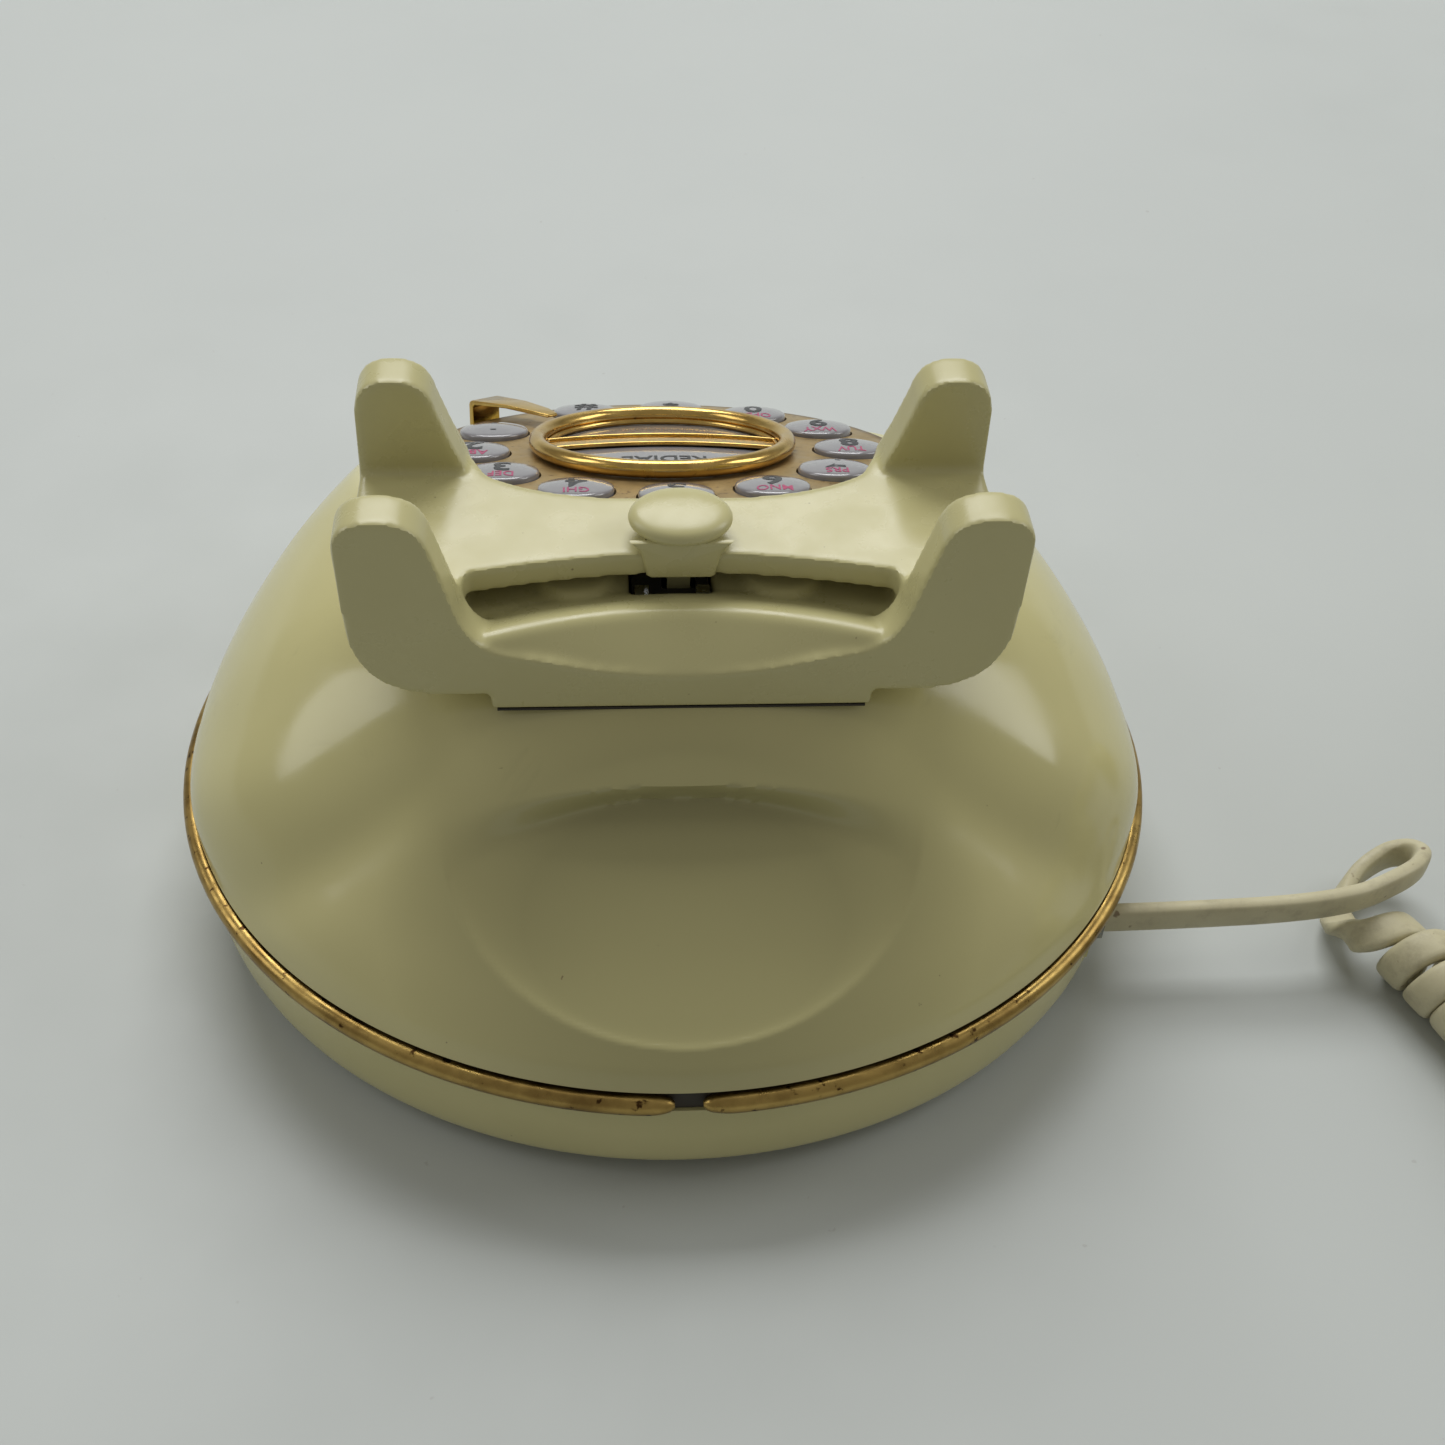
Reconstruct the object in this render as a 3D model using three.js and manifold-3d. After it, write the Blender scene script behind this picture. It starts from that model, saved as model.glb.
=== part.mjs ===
// Desk telephone with an oval base, a cradle, a ring of push keys and a curly-corded handset.
// Millimetres, +Z up, the front of the telephone faces -Y. Heights are above the floor, and for
// the pieces over the trim ring (body, cradle, dial) above a plane BODY_RISE over the floor.
import * as THREE from 'three';
import { mergeVertices } from 'three/addons/utils/BufferGeometryUtils.js';
import Module from 'manifold-3d';

const wasm = await Module();
wasm.setup();

// ---- driving dimensions -------------------------------------------------------------
const GAP = 0.3;                    // clearance left between pieces that touch
const WALL = 2.6;                   // thickness of the moulded shells

const RING_A = 92.6;                // half width of the base at the trim ring
const RING_REAR = 84.2;             // reach of the trim ring behind the centre
const RING_FRONT = 89;              // reach of the trim ring before the centre
const RING_Z = 18;                  // height of the trim ring
const BEAD_R = 1.9;                 // radius of the trim ring's bead
const BEAD_GAP = 2.6;               // half the opening in the ring at the rear

const BODY_RISE = 6;                // the body above the ring is drawn from this plane
const FOOT_H = 2.7;
const BASE_Z = 3;                   // underside of the lower housing
const RIM_LOW = 15.4;               // top edge of the lower housing's visible wall
const RIM_HIGH = 20.6;              // bottom edge of the upper housing

const DIAL_Y = -50.1;
const DIAL_Z = 53.5;
const DIAL_TILT = THREE.MathUtils.degToRad(22.6);
const PLATE_R = 51;
const SEAT_Z = -1.8;                // flat that the dial plate lies over, in the dial's frame
const KEY_PCD_R = 38.5;
const KEY_R = 7.2;
const KEY_START = -24;                // where the first key stands, in degrees
const KEY_STEP = 28.9;                // degrees from key to key
const KEY_COUNT = 12;
const STOP_W = 8;                   // width of the finger stop
const RING_R = 25.6;                // centre ring of the dial
const RING_BEAD = 1.75;
const RING_LIFT = 3.05;             // middle of the ring's bead over the dial plane

const SLAB_Y = 36;                  // rear face of the cradle
const SLAB_T = 8;                   // thickness of the near prongs
const PRONG_X = 55;                 // half width over the prongs
const PRONG_TOP = 102.6;
const FAR_Y = -2.2;                 // rear face of the far prongs
const FAR_T = 8;
const DECK_Z = 84;                  // top of the front saddle
const DECK_T = 4.6;
const TROUGH_Z = 75;                // floor between the two saddles
const CREST_Z = 77.6;               // ridge along the front of the rear saddle
const SEAM_Z = 63.4;                // joint between cradle and upper housing

const PLUNGER_Y = 14;               // middle of the hook plunger's stem
const LEVER_Y = -8;                 // hinge of the rocking lever under the plunger
const LEVER_Z = 46;

const JACK_Y = 38;                  // handset cord's jack in the side of the base
const JACK_Z = 14;
const LINE_Y = -12;                 // line jack beside it
const LINE_Z = 12.4;

const SCREW_HEAD_R = 3.2;
const SCREW_SPOTS = [[56, 34], [-52, 34], [56, -42], [-56, -42]];
const SWITCH_SPOTS = [[22, -40], [-22, -40]];
const FOOT_SPOTS = [[44, 50], [-44, 50], [44, -58], [-44, -58]];

const CORD_W = 5.2;                 // cord width where it runs straight
const COIL_R = 7.75;                // outer radius of the curly cord
const HANDSET_X = -250;
const HANDSET_Y = 12;
const HANDSET_TURN = -Math.atan2(0.335, 0.942);
const CAP_SPACING = 72;             // each handset cap from the handset's middle
const CAP_H = 11.6;
const SOCKET_Z = 20;                // handset plug's socket
const BOWL_Z = 15.4;                // open underside of the handset's bowls

// ---- finishes -----------------------------------------------------------------------
const finish = (color, roughness, metalness) =>
  () => new THREE.MeshStandardMaterial({ color, roughness, metalness });
const ivory = finish(0xe6dfb4, 0.22, 0);
const gold = finish(0xc79a3e, 0.28, 1);
const satinGold = finish(0xb09255, 0.4, 0.8);
const keyWhite = finish(0xdcd9e2, 0.2, 0);
const cordCream = finish(0xd8d0b6, 0.55, 0);
const black = finish(0x1c1c1e, 0.5, 0);
const steel = finish(0xa9adb2, 0.35, 1);
const greyRubber = finish(0x55565a, 0.8, 0);
const boardGreen = finish(0x2f6b44, 0.5, 0);
const clearPlug = finish(0xcfd2d0, 0.15, 0);

// ---- helpers ------------------------------------------------------------------------
const V2 = (x, y) => new THREE.Vector2(x, y);
const V3 = (x, y, z) => new THREE.Vector3(x, y, z);

// A closed three.js geometry as a solid, with its faces turned outward.
function solid(geometry) {
  const plain = geometry.clone();
  for (const name of Object.keys(plain.attributes)) {
    if (name !== 'position') plain.deleteAttribute(name);
  }
  const welded = mergeVertices(plain, 1e-4);
  const positions = welded.attributes.position.array;
  const corners = Array.from(welded.index.array);
  const kept = [];
  let volume = 0;
  const a = V3(0, 0, 0);
  const b = V3(0, 0, 0);
  const c = V3(0, 0, 0);
  for (let i = 0; i < corners.length; i += 3) {
    const [p, q, r] = corners.slice(i, i + 3);
    if (p === q || q === r || r === p) continue;
    kept.push(p, q, r);
    a.fromArray(positions, 3 * p);
    b.fromArray(positions, 3 * q);
    c.fromArray(positions, 3 * r);
    volume += a.dot(b.cross(c));
  }
  if (volume < 0) kept.reverse();
  return new wasm.Manifold(new wasm.Mesh({
    numProp: 3,
    vertProperties: Float32Array.from(positions),
    triVerts: Uint32Array.from(kept),
  }));
}

function geometryOf(manifold) {
  const mesh = manifold.getMesh();
  const geometry = new THREE.BufferGeometry();
  geometry.setAttribute('position', new THREE.BufferAttribute(mesh.vertProperties, 3));
  geometry.setIndex(new THREE.BufferAttribute(mesh.triVerts, 1));
  return geometry;
}

const join = (...solids) => solids.reduce((sum, next) => sum.add(next));
const cut = (whole, ...tools) => tools.reduce((rest, tool) => rest.subtract(tool), whole);

function box(x0, x1, y0, y1, z0, z1) {
  const geometry = new THREE.BoxGeometry(x1 - x0, y1 - y0, z1 - z0);
  return solid(geometry.translate((x0 + x1) / 2, (y0 + y1) / 2, (z0 + z1) / 2));
}

// A profile of [radius, height] pairs turned about the Z axis.
function turned(profile, sides) {
  const points = profile.map(([radius, height]) => V2(radius, height));
  return new THREE.LatheGeometry(points, sides).rotateX(Math.PI / 2);
}

function disc(radius, z0, z1, sides, x = 0, y = 0) {
  const profile = [[0, z0], [radius, z0], [radius, z1], [0, z1]];
  return solid(turned(profile, sides).translate(x, y, 0));
}

// A flat outline in X and Y raised from z0 to z1.
function raised(shape, z0, z1, curveSegments = 6) {
  const options = { depth: z1 - z0, bevelEnabled: false, curveSegments };
  return solid(new THREE.ExtrudeGeometry(shape, options).translate(0, 0, z0));
}

// A flat outline in X and Z pulled from the plane y1 forward to y0.
function upright(shape, y0, y1, curveSegments = 6) {
  const options = { depth: y1 - y0, bevelEnabled: false, curveSegments };
  const geometry = new THREE.ExtrudeGeometry(shape, options);
  return solid(geometry.rotateX(Math.PI / 2).translate(0, y1, 0));
}

function outline(points) {
  return new THREE.Shape(points.map(([x, y]) => V2(x, y)));
}

const mirrored = (half) => [...half, ...half.map(([x, y]) => [-x, y]).reverse()];

// A solid in the dial's own frame, moved to its place on the telephone.
const dialPlace = new THREE.Matrix4()
  .makeRotationX(DIAL_TILT)
  .setPosition(0, DIAL_Y, DIAL_Z);
const onDial = (manifold) => solid(geometryOf(manifold).applyMatrix4(dialPlace));

// Sweep of a round section along a smooth line through the points.
function sweep(points, radius, sides, steps, flatten = 1) {
  const path = new THREE.CatmullRomCurve3(points.map(([x, y, z]) => V3(x, y, z)));
  const section = new THREE.Shape();
  for (let i = 0; i < sides; i += 1) {
    const angle = (2 * Math.PI * i) / sides;
    const x = radius * Math.cos(angle);
    const y = radius * flatten * Math.sin(angle);
    if (i === 0) section.moveTo(x, y);
    else section.lineTo(x, y);
  }
  section.closePath();
  return new THREE.ExtrudeGeometry(section, { steps, extrudePath: path });
}

// The origin is at the middle of the lower housing's flat underside, so the floor is lower.
const group = new THREE.Group();
group.position.z = -BASE_Z;

function place(name, shape, material, parent = group) {
  const geometry = shape.isBufferGeometry ? shape : geometryOf(shape);
  const mesh = new THREE.Mesh(geometry, material());
  mesh.name = name;
  parent.add(mesh);
  return mesh;
}

// ---- base ---------------------------------------------------------------------------
// A turned profile whose circle becomes the egg-shaped outline of the base.
function ovalTurned(profile, sides) {
  const geometry = turned(profile, sides);
  const position = geometry.attributes.position;
  for (let i = 0; i < position.count; i += 1) {
    const y = position.getY(i);
    position.setY(i, y * (y > 0 ? RING_REAR : RING_FRONT) / RING_A);
  }
  return solid(geometry);
}

function lowerHousing() {
  const lip = RING_A - 5.4;
  const rim = RIM_LOW + BODY_RISE;
  const shell = ovalTurned([
    [0, BASE_Z], [RING_A - 4.4, BASE_Z], [RING_A - 2, BASE_Z + 1], [RING_A - 0.9, 6.6],
    [RING_A - 0.5, 13], [RING_A - 0.5, rim], [lip, rim], [lip, rim + 6.8],
    [lip - 2, rim + 6.8], [lip - 2, 12], [RING_A - 11, 6], [0, 5.8],
  ], 56);
  const jackWindow = box(-100, -60, JACK_Y - 7.3, JACK_Y + 7.3, JACK_Z - 4, JACK_Z + 4.6);
  const lineWindow = box(-100, -70, LINE_Y - 7.3, LINE_Y + 7.3, LINE_Z - 4, LINE_Z + 4);
  const holes = SCREW_SPOTS.map(([x, y]) => disc(SCREW_HEAD_R + GAP, 2, 7, 12, x, y));
  const switches = SWITCH_SPOTS.map(([x, y]) => box(x - 5, x + 5, y - 3, y + 3, 2, 7));
  return cut(shell, jackWindow, lineWindow, ...holes, ...switches);
}

// The dome's outline at each height: half width, rear reach, front reach and squareness.
const DOME_LEVELS = [
  { z: RIM_HIGH, a: 92.2, rear: 83.8, front: 88.6, n: 2.0 },
  { z: 25, a: 91.2, rear: 81.8, front: 90.2, n: 2.0 },
  { z: 31, a: 88.6, rear: 76.6, front: 92.0, n: 2.02 },
  { z: 38, a: 84.4, rear: 68.2, front: 93.0, n: 2.05 },
  { z: 45, a: 79.0, rear: 59.2, front: 92.6, n: 2.1 },
  { z: 52, a: 72.0, rear: 50.0, front: 90.0, n: 2.15 },
  { z: 58, a: 63.6, rear: 42.2, front: 84.0, n: 2.25 },
  { z: 61.5, a: 55.6, rear: 37.8, front: 77.0, n: 2.4 },
  { z: SEAM_Z - GAP, a: 46.0, rear: 35.6, front: 66.0, n: 2.6 },
];

// The dome grown inward by `inset`: a turned cylinder whose rings take the levels' outlines.
function dome(inset, sides) {
  const bottom = inset > 0 ? RIM_HIGH - 1 : RIM_HIGH;
  const heights = DOME_LEVELS.map((level, i) => (i === 0 ? bottom : level.z - inset * 0.75));
  const rim = heights.map((z) => [1, z]);
  const geometry = turned([[0, heights[0]], ...rim, [0, heights[heights.length - 1]]], sides);
  const position = geometry.attributes.position;
  for (let i = 0; i < position.count; i += 1) {
    const z = position.getZ(i);
    const x = position.getX(i);
    const y = position.getY(i);
    if (Math.hypot(x, y) < 0.5) continue;
    const nearest = heights.map((h) => Math.abs(h - z));
    const level = DOME_LEVELS[nearest.indexOf(Math.min(...nearest))];
    const power = 2 / level.n;
    const reach = (y > 0 ? level.rear : level.front) - inset;
    position.setX(i, (level.a - inset) * Math.sign(x) * Math.abs(x) ** power);
    position.setY(i, reach * Math.sign(y) * Math.abs(y) ** power);
  }
  return solid(geometry);
}

// The finger grip at the rear: the lower half of a flattened ball, under a straight lip.
const GRIP = { halfWidth: 39, reach: 43, depth: 8, slope: -37, lipY: 47, lipZ: 54.2 };
function gripBall(extra) {
  const ball = new THREE.SphereGeometry(1, 24, 12);
  ball.scale(GRIP.halfWidth + extra, GRIP.reach + extra, GRIP.depth + extra);
  ball.rotateX(THREE.MathUtils.degToRad(GRIP.slope)).translate(0, GRIP.lipY, GRIP.lipZ);
  const underLip = box(-60, 60, GRIP.lipY - extra, 110, 0, GRIP.lipZ + extra);
  return solid(ball).intersect(underLip);
}

function upperHousing() {
  const outer = dome(0, 48);
  const inner = dome(WALL, 48);
  const below = box(-120, 120, -120, 120, RIM_HIGH, 90);
  const cup = onDial(disc(PLATE_R - 0.6, -60, SEAT_Z, 40)).intersect(below);
  const cupHollow = onDial(disc(PLATE_R - 3.2, -70, 30, 32));
  const overSeat = onDial(box(-120, 120, -100, 52, SEAT_Z, 90));
  const grip = gripBall(WALL).intersect(outer);
  const cropped = cut(outer, overSeat);
  let shell = join(cropped, cup);
  shell = cut(shell, cut(inner, box(-200, 200, -200, 200, SEAM_Z - WALL, 100)), cupHollow);
  shell = join(shell, grip);
  const reach = join(cropped, box(-90, 90, -80, 70, 0, RIM_HIGH + 1));
  const posts = SCREW_SPOTS.map(([x, y]) => disc(4, 1.4, 64, 12, x, y).intersect(reach));
  shell = join(shell, ...posts);
  const bores = SCREW_SPOTS.map(([x, y]) => disc(1.9, 0, 17, 8, x, y));
  const plungerWell = box(-7, 10, 8, 24, 50, 90);
  const stopPocket = new THREE.BoxGeometry(3.4, STOP_W + 0.6, 70).translate(54.2, 0, 27.7);
  const pocket = onDial(solid(stopPocket.rotateZ(-Math.PI / 4)));
  return cut(shell, gripBall(0), plungerWell, pocket, ...bores);
}

function trimRing() {
  const start = Math.PI / 2 + BEAD_GAP / RING_A;
  const end = Math.PI / 2 - BEAD_GAP / RING_A + 2 * Math.PI;
  const steps = 60;
  const points = [];
  for (let i = 0; i <= steps; i += 1) {
    const angle = start + ((end - start) * i) / steps;
    const reach = Math.sin(angle) > 0 ? RING_REAR : RING_FRONT;
    points.push(V3(RING_A * Math.cos(angle), reach * Math.sin(angle), RING_Z));
  }
  const corners = Array.from({ length: 8 }, (_, i) => (i * Math.PI) / 4);
  const section = outline(corners.map((a) => [BEAD_R * Math.cos(a), BEAD_R * Math.sin(a)]));
  const extrudePath = new THREE.CatmullRomCurve3(points);
  return new THREE.ExtrudeGeometry(section, { steps, extrudePath });
}

place('lower_housing', lowerHousing(), ivory);

const body = new THREE.Group();
body.position.z = BODY_RISE;
group.add(body);
place('upper_housing', upperHousing(), ivory, body);
place('trim_ring', solid(trimRing()), gold, body);

FOOT_SPOTS.forEach(([x, y], i) => {
  const foot = turned([[0, 0], [7, 0], [7.6, FOOT_H], [0, FOOT_H]], 20).translate(x, y, 0);
  place(`foot_${i + 1}`, solid(foot), greyRubber);
});

SCREW_SPOTS.forEach(([x, y], i) => {
  const screw = turned([
    [0, 3.4], [SCREW_HEAD_R, 3.4], [SCREW_HEAD_R, 6], [1.5, 6], [1.5, 21], [0, 22],
  ], 12).translate(x, y, 0);
  place(`base_screw_${i + 1}`, solid(screw), steel);
});

const SWITCH_NAMES = ['ringer_switch', 'dial_mode_switch'];
SWITCH_SPOTS.forEach(([x, y], i) => {
  const slider = join(
    box(x - 2, x + 1, y - 2, y + 2, 3.2, 6),
    box(x - 3.4, x + 2.4, y - 2.6, y + 2.6, 6, 8),
  );
  place(SWITCH_NAMES[i], slider, black);
});

// ---- cradle -------------------------------------------------------------------------
function cradle() {
  const top = PRONG_TOP;
  const slab = new THREE.Shape();
  slab.moveTo(0, SEAM_Z);
  slab.lineTo(31, SEAM_Z);
  slab.lineTo(31, 67);
  slab.lineTo(40, 67);
  slab.quadraticCurveTo(53, 67.4, 54.4, 80);
  slab.lineTo(PRONG_X, top - 6);
  slab.quadraticCurveTo(PRONG_X, top, 48.4, top);
  slab.quadraticCurveTo(41.4, top, 40, top - 6);
  slab.lineTo(36.4, 84);
  slab.quadraticCurveTo(34.6, 76.6, 29, 76);
  slab.lineTo(0, 76);
  const half = slab.getPoints(5).map((p) => [p.x, p.y]);
  const rearBar = upright(outline(mirrored(half)), SLAB_Y - SLAB_T, SLAB_Y);

  const crest = outline(mirrored([[0, SLAB_Y], [30, SLAB_Y], [33, 30], [20, 27.6], [0, 26]]));
  const crestBlock = raised(crest, SEAM_Z, CREST_Z);

  const deck = outline(mirrored([
    [0, 5], [18, 3.6], [31, 0.4], [38, -10], [PRONG_X, -10], [PRONG_X, 6], [52, 24], [36, 24.4],
    [18, 21.2], [0, 20],
  ]));
  const deckPlate = raised(deck, DECK_Z - DECK_T, DECK_Z);

  const far = new THREE.Shape();
  far.moveTo(35.6, DECK_Z - DECK_T);
  far.lineTo(PRONG_X, DECK_Z - DECK_T);
  far.lineTo(54.6, top - 6);
  far.quadraticCurveTo(54, top, 48.6, top);
  far.quadraticCurveTo(42, top, 41, top - 6);
  far.lineTo(38.8, 90);
  far.lineTo(36.4, DECK_Z);
  const farHalf = far.getPoints(5).map((p) => [p.x, p.y]);
  const farLeft = upright(outline(farHalf), FAR_Y - FAR_T, FAR_Y);
  const farRight = upright(outline(farHalf.map(([x, z]) => [-x, z])), FAR_Y - FAR_T, FAR_Y);

  const wallHalf = [[0, SEAM_Z], [31, SEAM_Z], [34, 70], [50, DECK_Z - 3], [0, DECK_Z - 3]];
  const wall = upright(outline(mirrored(wallHalf)), 1.8, 10);
  const floor = box(-31, 31, 2.4, SLAB_Y - 2, SEAM_Z, TROUGH_Z);
  const bosses = [-17.6, 17.6].map((x) => disc(6.5, TROUGH_Z - 2, TROUGH_Z + 1, 20, x, 15.5));
  const webs = [-40.5, 40.5].map((x) => box(x - 2.5, x + 2.5, 2, 30, SEAM_Z, DECK_Z - 1));
  const frame = join(rearBar, crestBlock, deckPlate, farLeft, farRight, wall, floor, ...webs, ...bosses);
  const stemSlot = box(-6, 6, PLUNGER_Y - 3.2, 25, TROUGH_Z, DECK_Z + 2);
  const contactSlot = box(-5.4, 8.4, 10.4, 22.6, 60, TROUGH_Z + 2);
  return cut(frame, stemSlot, contactSlot);
}
place('cradle', cradle(), ivory, body);

// Oval cap on a short neck; a thin stem runs down from the neck to the lever.
function plunger() {
  const cap = turned([
    [0, 86.4], [8.2, 86.4], [8.8, 87.2], [8.6, 88.4], [6.6, 89.3], [0, 89.6],
  ], 28).scale(1, 0.82, 1);
  const neck = box(-5.6, 5.6, PLUNGER_Y - 2.8, 20.2, DECK_Z - DECK_T + 0.4, 87);
  const stem = box(-2, 2, PLUNGER_Y - 2, PLUNGER_Y + 1, LEVER_Z + 3.4, 81);
  return join(solid(cap.translate(0, PLUNGER_Y + 1, 0)), neck, stem);
}
place('hook_plunger', plunger(), ivory, body);

function coilSpring(radius, wire, z0, z1, turns, y) {
  const points = [];
  const perTurn = 8;
  for (let i = 0; i <= turns * perTurn; i += 1) {
    const angle = (2 * Math.PI * i) / perTurn;
    const z = z0 + ((z1 - z0) * i) / (turns * perTurn);
    points.push([radius * Math.cos(angle), y + radius * Math.sin(angle), z]);
  }
  return solid(sweep(points, wire, 6, turns * perTurn));
}
place('hook_spring', coilSpring(2.6, 0.45, 31.6, 43.8, 5, 24), steel, body);

// A rocking lever under the plunger's stem, hinged ahead of it.
const leverSide = outline([
  [LEVER_Y - 3, LEVER_Z - 3], [LEVER_Y + 3, LEVER_Z - 3], [29, LEVER_Z - 1.4],
  [29, LEVER_Z + 1.4], [LEVER_Y + 3, LEVER_Z + 3], [LEVER_Y - 3, LEVER_Z + 3],
]);
const leverGeometry = new THREE.ExtrudeGeometry(leverSide, { depth: 12, bevelEnabled: false });
leverGeometry.rotateX(Math.PI / 2).rotateZ(Math.PI / 2).translate(-6, 0, 0);
const leverBore = new THREE.CylinderGeometry(1.6, 1.6, 40, 12).rotateZ(Math.PI / 2);
const lever = cut(solid(leverGeometry), solid(leverBore.translate(0, LEVER_Y, LEVER_Z)));
place('hook_lever', lever, black, body);
const pin = new THREE.CylinderGeometry(1.3, 1.3, 18, 12).rotateZ(Math.PI / 2);
place('hook_lever_pin', solid(pin.translate(0, LEVER_Y, LEVER_Z)), steel, body);
const ears = [-7.5, 7.5].map((x) => box(x - 0.9, x + 0.9, LEVER_Y - 4, 14, 24, LEVER_Z + 4));
const switchBody = cut(
  join(box(-8.4, 8.4, LEVER_Y - 4, 29, 24, 26), box(-5, 5, 2, 29, 24, 30.8),
    box(-5, 5, 2, 14, 24, 39.6), ...ears),
  solid(leverBore),
);
place('hook_switch', switchBody, black, body);

// Black contact carrier seen through the slot in the trough, with two bent metal clips.
const carrier = cut(box(-5.1, 8.1, 10.7, 22.3, 69, 73.6), box(-3, 3, 11, 17, 50, 90));
place('contact_carrier', carrier, black, body);
for (const [name, x] of [['contact_clip_left', 5.2], ['contact_clip_right', -3.2]]) {
  place(name, box(x, x + 2.2, 18.6, 21.4, 73.9, 75.6), steel, body);
}

// ---- dial ---------------------------------------------------------------------------
const dial = new THREE.Group();
dial.position.set(0, DIAL_Y, DIAL_Z);
dial.rotation.x = DIAL_TILT;
body.add(dial);

// The keys stand a little closer than a twelfth apart, which leaves room for the finger stop.
const keyAngle = (i) => THREE.MathUtils.degToRad(KEY_START + KEY_STEP * ((i + 1) % KEY_COUNT));
const keySpot = (i) => [KEY_PCD_R * Math.cos(keyAngle(i)), KEY_PCD_R * Math.sin(keyAngle(i))];

function dialPlate() {
  const plate = solid(turned([
    [22.9, -1.4], [PLATE_R, -1.4], [PLATE_R, -0.5], [49.8, 0.2], [42, 0.8], [30, 1],
    [22.9, 1], [22.9, -1.4],
  ], 44));
  const holes = Array.from({ length: KEY_COUNT }, (_, i) => disc(KEY_R + 0.4, -5, 5, 16, ...keySpot(i)));
  return cut(plate, ...holes);
}
place('dial_plate', dialPlate(), satinGold, dial);

const KEY_NAMES = ['2', '3', '4', '5', '6', '7', '8', '9', '0', 'star', 'hash', '1'];
KEY_NAMES.forEach((label, i) => {
  const key = turned([
    [0, -1.4], [KEY_R, -1.4], [KEY_R, 1.2], [KEY_R - 1, 1.9], [0, 2.2],
  ], 16);
  const [x, y] = keySpot(i);
  place(`key_${label}`, solid(key), keyWhite, dial).position.set(x, y, 0);
});

// Round bead with two parallel bars across it.
function centreRing() {
  const bead = new THREE.TorusGeometry(RING_R, RING_BEAD, 8, 36).translate(0, 0, RING_LIFT);
  const bars = [-1.9, 1.9].map((y) => box(-RING_R, RING_R, y - 1.2, y + 1.2, 1.6, 3.6));
  const web = box(-RING_R, RING_R, -1.6, 1.6, 1.4, 2.6);
  return join(solid(bead), web, ...bars);
}
place('centre_ring', centreRing(), gold, dial);

// Half of a low round button, its straight side beside the bar.
function halfButton(side) {
  const round = solid(turned([[0, -1.2], [22.5, -1.2], [22.5, 1.2], [18, 2], [0, 2.6]], 40));
  const y0 = side > 0 ? 3.5 : -30;
  return round.intersect(box(-30, 30, y0, y0 + 26.5, -5, 5));
}
place('redial_button', halfButton(1), keyWhite, dial);
place('flash_button', halfButton(-1), keyWhite, dial);

place('key_membrane', disc(46, -5.2, -3.2, 40), greyRubber, dial);
place('keypad_board', disc(46, -7.1, -5.5, 40), boardGreen, dial);

// Post outside the plate, and a pointed arm that slopes in over it.
function fingerStop() {
  const side = outline([
    [53.4, -7], [55, -7], [55, 3.4], [54.2, 4.2], [44, 4.6], [32, 3.8], [32, 2.8],
    [44, 3.6], [53.4, 3.2],
  ]);
  const stop = new THREE.ExtrudeGeometry(side, { depth: STOP_W, bevelEnabled: false });
  stop.translate(0, 0, -STOP_W / 2).rotateX(Math.PI / 2);
  return solid(stop.rotateZ(-Math.PI / 4));
}
place('finger_stop', fingerStop(), gold, dial);

// ---- inside the base ----------------------------------------------------------------
place('main_board', box(-44, 40, -30, 26, 10, 11.6), boardGreen);
place('ballast_weight', box(-36, 36, -28, 24, 6.2, 9.4), steel);
place('ringer', disc(14, 11.9, 20, 24, -20, -10), black);
const lineJack = cut(box(-88, -73, LINE_Y - 7, LINE_Y + 7, LINE_Z - 3.7, LINE_Z + 3.7),
  box(-100, -77, LINE_Y - 4, LINE_Y + 4, LINE_Z - 2.4, LINE_Z + 2.4));
place('line_jack', lineJack, black);
const cordJack = cut(box(-78, -62, JACK_Y - 7, JACK_Y + 7, JACK_Z - 3, JACK_Z + 4.2),
  box(-100, -66, JACK_Y - 4.2, JACK_Y + 4.2, JACK_Z - 2, JACK_Z + 2.6));
place('cord_jack', cordJack, ivory);

// ---- handset ------------------------------------------------------------------------
const handset = new THREE.Group();
handset.position.set(HANDSET_X, HANDSET_Y, 0);
handset.rotation.z = HANDSET_TURN;
group.add(handset);

function handle() {
  const bowl = (y) => solid(turned([
    [0, BOWL_Z], [28.6, BOWL_Z], [29, 18], [27.4, 26], [22, 36], [13, 44], [0, 47],
  ], 28).translate(0, y, 0));
  const hollow = (y) => solid(turned([
    [0, BOWL_Z - 1], [25.6, BOWL_Z - 1], [24.6, 24], [19.6, 33], [11, 40], [0, 42],
  ], 24).translate(0, y, 0));
  const grip = sweep([
    [0, -CAP_SPACING, 37], [0, -54, 48], [0, -30, 55], [0, 0, 57.4],
    [0, 30, 55], [0, 54, 48], [0, CAP_SPACING, 37],
  ], 9.6, 12, 18, 1.15);
  const shell = join(bowl(-CAP_SPACING), bowl(CAP_SPACING), solid(grip));
  const socket = box(-4.6, 4.6, 84, 120, SOCKET_Z - 3.4, SOCKET_Z + 3.4);
  return cut(shell, hollow(-CAP_SPACING), hollow(CAP_SPACING), socket);
}
place('handset_handle', handle(), ivory, handset);

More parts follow.
